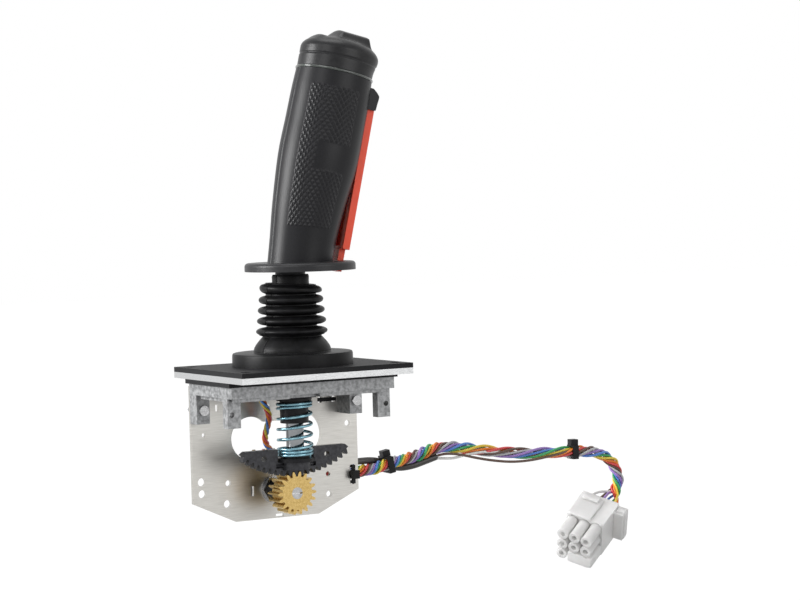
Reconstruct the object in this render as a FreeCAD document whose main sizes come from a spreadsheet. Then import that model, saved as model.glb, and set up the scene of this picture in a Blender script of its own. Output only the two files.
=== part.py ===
"""Panel-mounted industrial joystick: a sprung lever with a pistol grip that turns a geared potentiometer.

Frame: the panel's top face is Z = 0, with Z up through the grip. X runs along the lever's
swing, towards the trigger. The sensor plate stands on the +Y side. Lengths are millimetres.
"""
import FreeCAD, Part
import math
import os
import re
from FreeCAD import Placement, Rotation, Vector

os.makedirs("parts", exist_ok=True)
doc = FreeCAD.newDocument("joystick")
sheet = doc.addObject("Spreadsheet::Sheet", "Sizes")
sizes = {}
pieces = []


def set_sizes(**values):
    """Write driving dimensions to the sheet, one aliased cell each."""
    for name, value in values.items():
        row = len(sizes) + 1
        sheet.set(f"A{row}", name)
        sheet.set(f"B{row}", str(value))
        sheet.setAlias(f"B{row}", name)
        sizes[name] = float(value)
    sheet.recompute()


def formula(text):
    """Turn a formula in plain size names into one that names their cells."""
    return re.sub(r"[a-z]\w*", lambda hit: "Sizes." + hit.group() if hit.group() in sizes else hit.group(), str(text))


def value(text):
    """Work a formula in plain size names out as a number."""
    probe.setExpression("Length", formula(text) + " + 1000")
    probe.recompute()
    return probe.Length.Value - 1000


def bind(obj, frame=None, at=("0", "0", "0"), **lengths):
    """Bind an object's sizes and place to formulas; a frame is (x, z, lean about Y)."""
    for name, text in lengths.items():
        obj.setExpression(name, formula(text))
    x, y, z = at
    if frame:
        origin_x, origin_z, lean = frame
        turned_x = f"({origin_x}) + ({x}) * cos({lean}) + ({z}) * sin({lean})"
        turned_z = f"({origin_z}) - ({x}) * sin({lean}) + ({z}) * cos({lean})"
        x, z = turned_x, turned_z
    obj.setExpression("Placement.Base.x", formula(x))
    obj.setExpression("Placement.Base.y", formula(y))
    obj.setExpression("Placement.Base.z", formula(z))
    return obj


def box(x, y, z, frame=None):
    """A block between two formulas on each axis."""
    block = doc.addObject("Part::Box", "Block")
    if frame:
        block.Placement.Rotation = Rotation(Vector(0, 1, 0), 1)
        block.setExpression("Placement.Rotation.Angle", formula(frame[2]))
    spans = [f"({high}) - ({low})" for low, high in (x, y, z)]
    return bind(block, frame, (x[0], y[0], z[0]), Length=spans[0], Width=spans[1], Height=spans[2])


def cylinder(radius, axis, at, length, frame=None):
    """A round bar from a point, along X, Y or Z, or along a leaning frame's X or Z."""
    bar = doc.addObject("Part::Cylinder", "Bar")
    if axis == "Y":
        bar.Placement.Rotation = Rotation(Vector(1, 0, 0), -90)
    elif frame or axis == "X":
        quarter = "90" if axis == "X" else "0"
        lean = frame[2] if frame else "0"
        bar.Placement.Rotation = Rotation(Vector(0, 1, 0), 1)
        bar.setExpression("Placement.Rotation.Angle", formula(f"{quarter} + {lean}"))
    return bind(bar, frame, at, Radius=radius, Height=length)


def ellipse(half_x, half_y, centre_x, height, frame):
    """An ellipse across a leaning frame's Z axis."""
    outline = doc.addObject("Part::Ellipse", "Outline")
    outline.Placement.Rotation = Rotation(Vector(0, 1, 0), 1)
    outline.setExpression("Placement.Rotation.Angle", formula(frame[2]))
    return bind(outline, frame, (centre_x, "0", height), MajorRadius=half_x, MinorRadius=half_y)


def loft(outlines, ruled=False):
    """A solid skinned over outlines, from the lowest to the highest."""
    skin = doc.addObject("Part::Loft", "Skin")
    skin.Sections = outlines
    skin.Solid = True
    skin.Ruled = ruled
    return skin


def fuse(*shapes):
    """One solid out of several."""
    joined = doc.addObject("Part::MultiFuse", "Joined")
    joined.Shapes = list(shapes)
    joined.Refine = False
    return joined


def cut(base, *tools):
    """A solid less its tools."""
    carved = doc.addObject("Part::Cut", "Carved")
    carved.Base = base
    carved.Tool = tools[0] if len(tools) == 1 else fuse(*tools)
    return carved


def common(first, second):
    """What two solids share."""
    shared = doc.addObject("Part::Common", "Shared")
    shared.Base = first
    shared.Tool = second
    return shared


def ring(outer, inner, axis, at, length, frame=None):
    """A round tube."""
    return cut(cylinder(outer, axis, at, length, frame), cylinder(inner, axis, at, length, frame))


def group(*shapes):
    """Like pieces kept as separate solids in one node."""
    bundle = doc.addObject("Part::Compound", "Group")
    bundle.Links = list(shapes)
    return bundle


def piece(label, obj):
    """Give a finished piece its name."""
    obj.Label = label
    pieces.append(obj)
    return obj


def shaped(label, shape):
    """A piece whose shape comes from curves that primitives don't give."""
    feature = doc.addObject("Part::Feature", label.title().replace("_", ""))
    feature.Shape = shape
    return piece(label, feature)


probe = doc.addObject("Part::Box", "Probe")

# Trim plate, rubber pad and gasket: the stack clamped to the panel
set_sizes(plate_length=101.6, plate_width=79.4, plate_thick=3.2, pad_thick=2.6, gasket_thick=2.4)
set_sizes(panel_pitch_x=88.9, panel_pitch_y=63.5, panel_hole=2.6, opening_radius=19.0)
set_sizes(gasket_front=-24.0, gasket_back=27.3, gasket_half=50.4, frame_pitch_x=84.0, frame_pitch_y=36.0)
set_sizes(frame_screw=1.5, frame_head=2.9, fit_gap=0.02, casting_mid_y=1.65)


def four(radius, pitch_x, pitch_y, low, length, mid_y="0"):
    """Four upright bars at the corners of a rectangle."""
    return [
        cylinder(radius, "Z", (f"{side} * {pitch_x} / 2", f"{mid_y} + {end} * {pitch_y} / 2", low), length)
        for side in (-1, 1)
        for end in (-1, 1)
    ]


half_length = ("-plate_length / 2", "plate_length / 2")
half_width = ("-plate_width / 2", "plate_width / 2")
plate_holes = four("panel_hole", "panel_pitch_x", "panel_pitch_y", "-1", "plate_thick + 2")
plate_sinks = four("frame_head + 0.1", "frame_pitch_x", "frame_pitch_y", "plate_thick - 1.7", "3", "casting_mid_y")
plate_taps = four("frame_screw + fit_gap", "frame_pitch_x", "frame_pitch_y", "-1", "9", "casting_mid_y")
plate_opening = cylinder("opening_radius", "Z", ("0", "0", "-1"), "plate_thick + 2")
piece(
    "trim_plate",
    cut(box(half_length, half_width, ("0", "plate_thick")), plate_opening, *plate_holes, *plate_sinks, *plate_taps),
)
pad_holes = four("panel_hole + 0.2", "panel_pitch_x", "panel_pitch_y", "plate_thick - 1", "pad_thick + 2")
pad_opening = cylinder("opening_radius", "Z", ("0", "0", "plate_thick - 1"), "pad_thick + 2")
piece(
    "boot_pad",
    cut(box(half_length, half_width, ("plate_thick", "plate_thick + pad_thick")), pad_opening, *pad_holes),
)
gasket_holes = four("frame_screw + fit_gap", "frame_pitch_x", "frame_pitch_y", "-5", "9", "casting_mid_y")
gasket_opening = cylinder("opening_radius", "Z", ("0", "0", "-5"), "9")
piece(
    "lower_gasket",
    cut(
        box(("-gasket_half", "gasket_half"), ("gasket_front", "gasket_back"), ("-gasket_thick", "0")),
        gasket_opening,
        *gasket_holes,
    ),
)
screw_low = "-gasket_thick - 5.4"
screw_length = "gasket_thick + 5.4 + plate_thick - 1.6"
heads = four("frame_head", "frame_pitch_x", "frame_pitch_y", "plate_thick - 1.6", "1.4", "casting_mid_y")
shanks = four("frame_screw", "frame_pitch_x", "frame_pitch_y", screw_low, screw_length, "casting_mid_y")
piece("frame_screws", group(*[fuse(head, shank) for head, shank in zip(heads, shanks)]))

# Mounting casting: a die-cast frame with four lugs, and two bosses that carry the lever's pivot
set_sizes(casting_half=48.7, casting_front=-23.0, casting_back=26.3, rim_height=6.0, step_height=2.0)
set_sizes(step_inset=2.2, swing_half=17.5, boss_inner=9.4, boss_outer=15.4, boss_radius=6.5, pivot_height=3.0)
set_sizes(pivot_pin=3.0, lug_width=7.6, lug_drop=15.6, front_lug_y=-18.0, front_lug_depth=5.4, lug_hole=1.4)
set_sizes(left_lug_depth=8.3, right_lug_depth=14.2, lug_hole_drop=8.4, front_hole_inset=2.5)
set_sizes(recess_left=-13.4, recess_right=4.4, recess_depth=6.0, well_margin=9.0, lead_hole_radius=2.6)
casting_top = "-gasket_thick"
rim_low = "-gasket_thick - rim_height"
step_low = "-gasket_thick - rim_height - step_height"
lug_low = "-gasket_thick - rim_height - lug_drop"
lug_hole_z = "-gasket_thick - rim_height - lug_hole_drop"
left_end = ("-casting_half", "-casting_half + lug_width")
right_end = ("casting_half - lug_width", "casting_half")
lug_spans = (
    (left_end, ("front_lug_y", "front_lug_y + front_lug_depth")),
    (right_end, ("front_lug_y", "front_lug_y + front_lug_depth")),
    (left_end, ("casting_back - left_lug_depth", "casting_back")),
    (right_end, ("casting_back - right_lug_depth", "casting_back")),
)
left_hole_x = "-casting_half + lug_width / 2"
right_hole_x = "casting_half - lug_width / 2"
front_hole_x = ("-casting_half + front_hole_inset", "casting_half - front_hole_inset")
lugs = [box(x, y, (lug_low, "-gasket_thick - 1")) for x, y in lug_spans]
front_taps = [
    cylinder("lug_hole", "Y", (x, "front_lug_y - 1", lug_hole_z), "front_lug_depth + 2")
    for x in front_hole_x
]
back_taps = [
    cylinder("lug_hole + fit_gap", "Y", (x, "casting_back - right_lug_depth - 1", lug_hole_z), "right_lug_depth + 2")
    for x in (left_hole_x, right_hole_x)
]
rim = box(("-casting_half", "casting_half"), ("casting_front", "casting_back"), (rim_low, casting_top))
step = box(
    ("-casting_half + step_inset", "casting_half - step_inset"),
    ("casting_front + step_inset", "casting_back - step_inset"),
    (step_low, "-gasket_thick - 1"),
)
recess = box(
    ("recess_left", "recess_right"), ("casting_front", "casting_front + recess_depth"), (f"{step_low} - 1", rim_low)
)
wells = [
    box((low, high), ("casting_front + 6", "casting_back - 7"), (f"{step_low} - 1", "-gasket_thick - 2.6"))
    for low, high in (
        ("-casting_half + well_margin", "-swing_half - 5"),
        ("swing_half + 5", "casting_half - well_margin"),
    )
]
swing_slot = box(("-swing_half", "swing_half"), ("-boss_inner", "boss_inner"), (f"{step_low} - 1", "20"))
bosses = [
    fuse(
        box(("-boss_radius", "boss_radius"), (low, high), (rim_low, "pivot_height")),
        cylinder("boss_radius", "Y", ("0", low, "pivot_height"), "boss_outer - boss_inner"),
    )
    for low, high in (("-boss_outer", "-boss_inner"), ("boss_inner", "boss_outer"))
]
pivot_bore = cylinder("pivot_pin + fit_gap", "Y", ("0", "-boss_outer - 1", "pivot_height"), "2 * boss_outer + 2")
casting_taps = four("frame_screw + fit_gap", "frame_pitch_x", "frame_pitch_y", "-9", "9", "casting_mid_y")
lead_hole = cylinder("lead_hole_radius", "Z", ("-12", "17", f"{step_low} - 1"), "12")
casting_body = cut(fuse(rim, step, *lugs), recess, *wells, swing_slot, lead_hole)
piece(
    "mounting_casting",
    cut(fuse(casting_body, *bosses), pivot_bore, *front_taps, *back_taps, *casting_taps),
)
set_sizes(pin_half=17.0, clip_thick=0.8, clip_radius=4.6)
piece("pivot_pin", cylinder("pivot_pin", "Y", ("0", "-pin_half", "pivot_height"), "2 * pin_half"))
clips = [
    ring("clip_radius", "pivot_pin + fit_gap", "Y", ("0", low, "pivot_height"), "clip_thick")
    for low in ("-boss_outer - clip_thick", "boss_outer")
]
piece("pivot_clips", group(*clips))

# Side plate: stainless sheet screwed to the back lugs, which carries the potentiometer
set_sizes(side_thick=2.0, side_left=-48.3, side_right=53.3, side_low=-78.8, side_corner=25.4, corner_drop=11.6)
set_sizes(window_left=-13.0, window_right=18.0, window_radius=11.6, window_height=-34.4, window_top=-26.0)
set_sizes(window_low=-43.0, module=1.1545, sector_teeth=96, pinion_teeth=18, bush_radius=4.75)
mesh_height = "(pivot_height - module * (sector_teeth + pinion_teeth) / 2)"
side_span = ("casting_back - 1", "side_thick + 2")
side_blank = box(("side_left", "side_right"), ("casting_back", "casting_back + side_thick"), ("side_low", "-4"))


def side_hole(x, z, radius):
    """A round hole through the side plate."""
    return cylinder(radius, "Y", (x, side_span[0], z), side_span[1])


def side_slot(x, z, wide, tall):
    """A square hole through the side plate, given its middle."""
    depth = ("casting_back - 1", "casting_back + side_thick + 1")
    return box((f"{x} - {wide} / 2", f"{x} + {wide} / 2"), depth, (f"{z} - {tall} / 2", f"{z} + {tall} / 2"))


def corner(edge, lean):
    """The wedge sheared off a lower corner of the side plate."""
    wedge = doc.addObject("Part::Box", "Wedge")
    wedge.Placement.Rotation = Rotation(Vector(0, 1, 0), 1)
    wedge.setExpression("Placement.Rotation.Angle", formula(lean))
    back = "0" if edge == "side_left" else "-60"
    start_x = "side_left" if edge == "side_left" else "side_right"
    start = (start_x, "casting_back - 1", "side_low + corner_drop")
    x = f"{start[0]} + ({back}) * cos({lean}) - 40 * sin({lean})"
    z = f"{start[2]} - ({back}) * sin({lean}) - 40 * cos({lean})"
    return bind(wedge, None, (x, start[1], z), Length="60", Width="side_thick + 2", Height="40")


shear = "atan(corner_drop / side_corner)"
window = fuse(
    side_hole("window_left", "window_height", "window_radius"),
    side_hole("window_right", "window_height", "window_radius + 0.8"),
    box(
        ("window_left", "window_right"),
        ("casting_back - 1", "casting_back + side_thick + 1"),
        ("window_low", "window_top"),
    ),
)
set_sizes(upper_tie_left=30.4, upper_tie_right=38.8, upper_tie_height=-16.4, strap_half=1.0, strap_thick=1.2)
round_holes = (
    (-41.0, -30.7, 1.1),
    (-43.0, -55.8, 2.2),
    (-42.8, -62.2, 2.2),
    (-27.2, -57.6, 1.6),
    (-28.0, -68.7, 2.1),
    (34.2, -57.4, 1.4),
    (34.5, -68.5, 1.7),
    (47.2, -30.3, 1.7),
    (-1.8, -17.3, 1.0),
    (49.8, -55.0, 1.8),
    (49.8, -62.6, 1.8),
    ("upper_tie_left", "upper_tie_height", 1.7),
    ("upper_tie_right", "upper_tie_height", 1.7),
)
slots = (
    (-12.7, -63.1, 1.6, 5.4),
    (3.6, -77.4, 5.0, 1.5),
    (-32.7, -16.8, 1.7, 3.6),
    (49.8, -58.8, 1.5, 6.0),
    ("(upper_tie_left + upper_tie_right) / 2", "upper_tie_height", 7.0, 1.5),
)
side_holes = [side_hole(x, z, radius) for x, z, radius in round_holes]
side_slots = [side_slot(x, z, wide, tall) for x, z, wide, tall in slots]
side_screw_holes = [side_hole(x, lug_hole_z, "lug_hole + fit_gap") for x in (left_hole_x, right_hole_x)]
side_bush_hole = side_hole("0", mesh_height, "bush_radius + 0.05")
piece(
    "side_plate",
    cut(
        side_blank,
        corner("side_left", shear),
        corner("side_right", f"-{shear}"),
        window,
        side_bush_hole,
        *side_screw_holes,
        *side_holes,
        *side_slots,
    ),
)
set_sizes(screw_head=2.7, screw_head_thick=1.8)
side_screws = []
for x, depth in ((left_hole_x, "left_lug_depth"), (right_hole_x, "right_lug_depth")):
    head_y = f"casting_back - {depth} - screw_head_thick"
    head = cylinder("screw_head", "Y", (x, head_y, lug_hole_z), "screw_head_thick")
    shank = cylinder("lug_hole", "Y", (x, head_y, lug_hole_z), f"{depth} + screw_head_thick + side_thick + 3")
    slot = box((f"{x} - 3", f"{x} + 3"), (head_y, f"{head_y} + 0.8"), (f"{lug_hole_z} - 0.35", f"{lug_hole_z} + 0.35"))
    side_screws.append(cut(fuse(head, shank), slot))
piece("side_plate_screws", group(*side_screws))
nuts = []
for x in (left_hole_x, right_hole_x):
    nut = doc.addObject("Part::Prism", "Nut")
    nut.Polygon = 6
    nut.Placement.Rotation = Rotation(Vector(1, 0, 0), -90)
    bind(nut, None, (x, "casting_back + side_thick", lug_hole_z), Circumradius="3.1", Height="2.2")
    nut_bore = cylinder("lug_hole + fit_gap", "Y", (x, "casting_back", lug_hole_z), "side_thick + 8")
    nuts.append(cut(nut, nut_bore))
piece("side_plate_nuts", group(*nuts))

# Potentiometer behind the side plate, with its bush and nut through it
set_sizes(pot_radius=11.4, pot_length=17.0, pot_shaft=3.175, bush_front=17.0, pot_nut_thick=2.2, washer_thick=0.6)
set_sizes(pinion_front=-1.0, pinion_width=12.0, running_gap=0.04)
plate_back = "casting_back + side_thick"
pot_bore = cylinder("pot_shaft + running_gap", "Y", ("0", "0", mesh_height), "casting_back + side_thick + pot_length - 3")
piece(
    "potentiometer",
    cut(
        fuse(
            cylinder("pot_radius", "Y", ("0", plate_back, mesh_height), "pot_length"),
            cylinder("pot_radius + 0.7", "Y", ("0", plate_back, mesh_height), "2.4"),
            cylinder("bush_radius", "Y", ("0", "bush_front", mesh_height), f"{plate_back} - bush_front + 1"),
            box(("-9", "9"), (f"{plate_back} + 5", f"{plate_back} + 12"), (f"{mesh_height} + 6", f"{mesh_height} + 15")),
        ),
        pot_bore,
    ),
)
terminals = [
    box((f"{x} - 1", f"{x} + 1"), (f"{plate_back} + 8", f"{plate_back} + 8.6"), (f"{mesh_height} + 15", f"{mesh_height} + 21"))
    for x in (-6, 0, 6)
]
piece("pot_terminals", group(*terminals))
washer_back = "casting_back - washer_thick"
piece(
    "pot_washer",
    ring("bush_radius + 2.6", "bush_radius + 0.05", "Y", ("0", washer_back, mesh_height), "washer_thick"),
)
pot_nut = doc.addObject("Part::Prism", "PotNut")
pot_nut.Polygon = 6
pot_nut.Placement.Rotation = Rotation(Vector(1, 0, 0), -90)
nut_y = f"{washer_back} - pot_nut_thick"
bind(pot_nut, None, ("0", nut_y, mesh_height), Circumradius="bush_radius + 2.6", Height="pot_nut_thick")
nut_bore = cylinder("bush_radius + 0.05", "Y", ("0", f"{nut_y} - 1", mesh_height), "pot_nut_thick + 2")
piece("pot_nut", cut(pot_nut, nut_bore))
shaft_length = "casting_back + side_thick + pot_length - 5 - pinion_front"
shaft = cylinder("pot_shaft", "Y", ("0", "pinion_front", mesh_height), shaft_length)
shaft_slot = box(
    ("-4", "4"), ("pinion_front - 1", "pinion_front + 1.6"), (f"{mesh_height} - 0.4", f"{mesh_height} + 0.4")
)
piece("pot_shaft", cut(shaft, shaft_slot))

# Gear pair: a steel sector on the lever drives the brass pinion
set_sizes(tooth_backlash=0.10, pressure_angle=20.0, sector_thick=4.0, sector_front=-0.5, sector_half_teeth=9)
set_sizes(sector_top=-38.6, seat_height=-43.7, hub_radius=8.0, hub_low=-49.8, rod_radius=4.75, rod_low=-49.3)


def tooth_points(teeth, centre_angle):
    """One external involute tooth, root to root, as points about the gear's centre."""
    module, pressure = value("module"), math.radians(value("pressure_angle"))
    pitch = module * teeth / 2
    base = pitch * math.cos(pressure)
    tip, root = pitch + module, pitch - 1.25 * module
    half_thick = math.pi / (2 * teeth) - value("tooth_backlash") / 2 / pitch
    involute = math.tan(pressure) - pressure
    flank = []
    for step_number in range(5):
        radius = max(root, base) + (tip - max(root, base)) * step_number / 4
        turn = math.acos(min(1.0, base / radius))
        flank.append((radius, half_thick + involute - (math.tan(turn) - turn)))
    if root < base:
        flank.insert(0, (root, flank[0][1]))
    rising = [(radius, centre_angle - angle) for radius, angle in flank]
    falling = [(radius, centre_angle + angle) for radius, angle in reversed(flank)]
    return [Vector(radius * math.cos(angle), 0, radius * math.sin(angle)) for radius, angle in rising + falling]


def slab(points, thick):
    """A flat plate with a many-sided outline in the X-Z plane."""
    outline = Part.makePolygon(points + [points[0]])
    return Part.Face(outline).extrude(Vector(0, thick, 0))


pinion_points = []
pinion_teeth = round(value("pinion_teeth"))
for tooth in range(pinion_teeth):
    pinion_points += tooth_points(pinion_teeth, math.pi / 2 + 2 * math.pi * (tooth + 0.5) / pinion_teeth)
pinion_blank = doc.addObject("Part::Feature", "PinionBlank")
pinion_blank.Shape = slab(pinion_points, value("pinion_width"))
pinion_blank.Placement = Placement(Vector(0, value("pinion_front"), value(mesh_height)), Rotation())
pinion_bore = cylinder("pot_shaft + fit_gap", "Y", ("0", "pinion_front - 1", mesh_height), "pinion_width + 2")
grub_y = "pinion_front + pinion_width - 3"
grub_hole = cylinder("1.22", "X", ("0", grub_y, mesh_height), "20")
piece("brass_pinion", cut(pinion_blank, pinion_bore, grub_hole))
piece("pinion_grub_screw", cylinder("1.2", "X", ("pot_shaft + fit_gap + 0.02", grub_y, mesh_height), "5"))

sector_teeth = round(value("sector_teeth"))
sector_points = []
reach = round(value("sector_half_teeth"))
for tooth in range(-reach, reach + 1):
    sector_points += tooth_points(sector_teeth, -math.pi / 2 + 2 * math.pi * tooth / sector_teeth)
sector_top_z = value("sector_top - pivot_height")
last, first = sector_points[-1], sector_points[0]
sector_points += [Vector(last.x + 1.2, 0, last.z + 1.0), Vector(last.x - 1.0, 0, sector_top_z)]
sector_points += [Vector(first.x + 1.0, 0, sector_top_z), Vector(first.x - 1.2, 0, first.z + 1.0)]
sector_blank = doc.addObject("Part::Feature", "SectorBlank")
sector_blank.Shape = slab(sector_points, value("sector_thick"))
sector_blank.Placement = Placement(Vector(0, value("sector_front"), value("pivot_height")), Rotation())
set_sizes(seat_radius=10.2, seat_thick=2.0, pin_radius=1.2, pin_height=-47.7)
seat_low = "seat_height - seat_thick"
sector_notch = box(("-seat_radius - 0.6", "seat_radius + 0.6"), ("-12", "12"), (seat_low, "sector_top + 1"))
sector_hub = cylinder("hub_radius", "Z", ("0", "0", "hub_low"), f"{seat_low} - hub_low")
sector_bore = cylinder("rod_radius + fit_gap", "Z", ("0", "0", "rod_low - fit_gap"), "20")
sector_holes = [
    cylinder("1.6", "Y", (x, "sector_front - 1", "sector_top - 4.6"), "sector_thick + 2") for x in ("-19", "19")
]
sector_pin_hole = cylinder("pin_radius + fit_gap", "X", ("-12", "0", "pin_height"), "24")
piece(
    "gear_sector",
    cut(fuse(cut(sector_blank, sector_notch), sector_hub), sector_bore, *sector_holes, sector_pin_hole),
)
piece("sector_pin", cylinder("pin_radius", "X", ("-hub_radius", "0", "pin_height"), "2 * hub_radius"))

# Lever rod, pivot block, bushes, and the centring spring with its sleeve and seat
set_sizes(rod_top=74.0, block_half=8.5, block_side=9.0, block_low=-11.5, block_high=9.5, bush_outer=4.2)
set_sizes(bush_inner_gap=0.05, bush_start=5.2, sleeve_top=-11.8, flange_thick=1.2, flange_radius=9.5)
set_sizes(sleeve_radius=7.6, sleeve_low=-25.0, wire_radius=0.75, coil_radius=8.8, active_coils=5, seat_guide=4.0)
rod = cylinder("rod_radius", "Z", ("0", "0", "rod_low"), "rod_top - rod_low")
rod_cross = cylinder("pivot_pin + bush_inner_gap", "Y", ("0", "-10", "pivot_height"), "20")
rod_pin_hole = cylinder("pin_radius + fit_gap", "X", ("-12", "0", "pin_height"), "24")
piece("lever_rod", cut(rod, rod_cross, rod_pin_hole))
block = box(("-block_half", "block_half"), ("-block_side", "block_side"), ("block_low", "block_high"))
block_bore = cylinder("rod_radius + fit_gap", "Z", ("0", "0", "block_low - 1"), "block_high - block_low + 2")
block_cross = cylinder("bush_outer + fit_gap", "Y", ("0", "-12", "pivot_height"), "24")
piece("pivot_block", cut(block, block_bore, block_cross))
bushes = [
    ring("bush_outer", "pivot_pin + bush_inner_gap", "Y", ("0", low, "pivot_height"), "boss_inner - 0.1 - bush_start")
    for low in ("-boss_inner + 0.1", "bush_start")
]
piece("pivot_bushes", group(*bushes))
sleeve_low_flange = "sleeve_top - flange_thick"
piece(
    "centring_sleeve",
    cut(
        fuse(
            cylinder("flange_radius", "Z", ("0", "0", sleeve_low_flange), "flange_thick"),
            cylinder("sleeve_radius", "Z", ("0", "0", "sleeve_low"), "sleeve_top - sleeve_low"),
        ),
        cylinder("rod_radius + 0.05", "Z", ("0", "0", "sleeve_low - 1"), "40"),
    ),
)
piece(
    "spring_seat",
    cut(
        fuse(
            cylinder("seat_radius", "Z", ("0", "0", seat_low), "seat_thick"),
            cylinder("sleeve_radius", "Z", ("0", "0", seat_low), "seat_thick + seat_guide"),
        ),
        cylinder("rod_radius + fit_gap", "Z", ("0", "0", f"{seat_low} - 1"), "12"),
    ),
)


def coil(radius, wire, low, high, turns, closed=True):
    """A compression spring along Z, with a closed coil at each end."""
    start = low + (2 * wire if closed else 0)
    pitch = (high - (2 * wire if closed else 0) - start) / turns
    helix = Part.makeHelix(pitch, pitch * turns, radius)
    helix.translate(Vector(0, 0, start))
    section = Part.Wire(Part.makeCircle(wire, Vector(radius, 0, start), Vector(0, 1, 0)))
    spring = Part.Wire(helix.Edges).makePipeShell([section], True, True)
    if not closed:
        return spring
    ends = [Part.makeTorus(radius, wire, Vector(0, 0, height)) for height in (start, start + pitch * turns)]
    return spring.fuse(ends)


shaped(
    "return_spring",
    coil(
        value("coil_radius"),
        value("wire_radius"),
        value("seat_height - wire_radius + 0.05"),
        value(f"{sleeve_low_flange} + wire_radius - 0.25"),
        round(value("active_coils")),
    ),
)

# Bellows boot: moulded rubber, with five rolls between a collar and a broad foot
set_sizes(boot_foot_radius=31.4, boot_foot_height=7.0, boot_skirt=20.0, boot_waist=15.2, roll_pitch=5.58)
set_sizes(roll_count=5, roll_low=23.9, roll_low_radius=19.0, roll_high_radius=16.6, groove_radius=13.2)
set_sizes(boot_wall=1.4, collar_radius=9.7, collar_bore=8.3, collar_top=54.0, cavity_radius=18.3)
foot_low = value("plate_thick + pad_thick")
foot_top = foot_low + value("boot_foot_height")
outer_line = [(value("boot_foot_radius"), foot_low), (value("boot_foot_radius - 0.3"), foot_top)]
outer_line += [(value("boot_skirt + 0.4"), foot_top + 0.4), (value("boot_skirt"), foot_top + 1.6)]
outer_line += [(value("boot_waist"), value("roll_low - 3.6"))]
inner_line = [(value("cavity_radius"), foot_low), (value("cavity_radius"), foot_top)]
inner_line += [(value("boot_waist - boot_wall"), value("roll_low - 3.2"))]
rolls = round(value("roll_count"))
for roll in range(rolls):
    height = value("roll_low") + roll * value("roll_pitch")
    share = roll / max(1, rolls - 1)
    edge = value("roll_low_radius") * (1 - share) + value("roll_high_radius") * share
    groove = value("groove_radius")
    half = value("roll_pitch") / 2
    outer_line += [(groove, height - half + 0.5), (edge - 1.2, height - 1.6), (edge, height), (edge - 1.2, height + 1.6)]
    outer_line += [(groove, height + half - 0.5)]
    wall = value("boot_wall")
    inner_line += [(groove - wall, height - half + 0.5), (edge - 1.3 * wall, height), (groove - wall, height + half - 0.5)]
roll_end = value("roll_low + (roll_count - 0.5) * roll_pitch")
outer_line += [(value("collar_radius"), roll_end + 0.6), (value("collar_radius"), value("collar_top"))]
inner_line += [(value("collar_bore"), roll_end - 0.2), (value("collar_bore"), value("collar_top"))]
boot_points = [Vector(radius, 0, height) for radius, height in outer_line + inner_line[::-1]]
boot_face = Part.Face(Part.makePolygon(boot_points + [boot_points[0]]))
shaped("bellows_boot", boot_face.revolve(Vector(0, 0, 0), Vector(0, 0, 1), 360))

# Hand rest and the hub under it that holds the boot's collar
set_sizes(rest_low=55.8, rest_thick=4.5, rest_radius=29.6, rest_centre=6.1, rest_hub=8.0, rest_hub_low=44.0)
set_sizes(rest_edge=1.9, tab_width=6.0, tab_gap=0.8, slot_left=19.4, slot_right=32.2)
rest_top = "rest_low + rest_thick"
rest_disc = cylinder("rest_radius", "Z", ("rest_centre", "0", "rest_low"), "rest_thick")
rest_round = doc.addObject("Part::Fillet", "RestEdge")
rest_round.Base = rest_disc
rest_round.Edges = [(edge_number, value("rest_edge"), value("rest_edge")) for edge_number in (1, 3)]
rod_clear = cylinder("rod_radius + fit_gap", "Z", ("0", "0", "rest_hub_low - 1"), "30")
tab_slot = box(
    ("slot_left", "slot_right"), ("-tab_width / 2 - tab_gap", "tab_width / 2 + tab_gap"), ("rest_low - 1", f"{rest_top} + 1")
)
piece("hand_rest", cut(rest_round, rod_clear, tab_slot))
piece("boot_hub", ring("rest_hub", "rod_radius + fit_gap", "Z", ("0", "0", "rest_hub_low"), "rest_low - rest_hub_low"))

# Grip: two moulded half shells that meet on the X-Z plane
grip_sections = (
    (60.3, 6.1, 17.8, 15.9, 0.0),
    (72.0, 8.3, 18.2, 16.3, 5.0),
    (90.0, 12.2, 19.8, 17.7, 10.0),
    (114.0, 18.5, 21.9, 19.6, 13.0),
    (134.0, 23.7, 21.8, 19.5, 13.4),
    (149.0, 27.5, 21.6, 19.3, 13.4),
    (159.1, 30.0, 21.1, 18.9, 13.4),
)
for number, section in enumerate(grip_sections, 1):
    names = ("grip_height_", "grip_centre_", "grip_half_x_", "grip_half_y_", "grip_lean_")
    set_sizes(**{f"{name}{number}": size for name, size in zip(names, section)})
set_sizes(shell_wall=2.8, shell_front_wall=6.0)


def grip_loft(wall_x, wall_y, shift):
    """The grip's outer form, or the same form drawn in by its walls."""
    outlines = []
    for number in range(1, len(grip_sections) + 1):
        frame = (f"grip_centre_{number}", f"grip_height_{number}", f"grip_lean_{number}")
        half_x = f"grip_half_x_{number} - ({wall_x})"
        half_y = f"grip_half_y_{number} - ({wall_y})"
        outlines.append(ellipse(half_x, half_y, shift, "0", frame))
    return loft(outlines)


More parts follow.
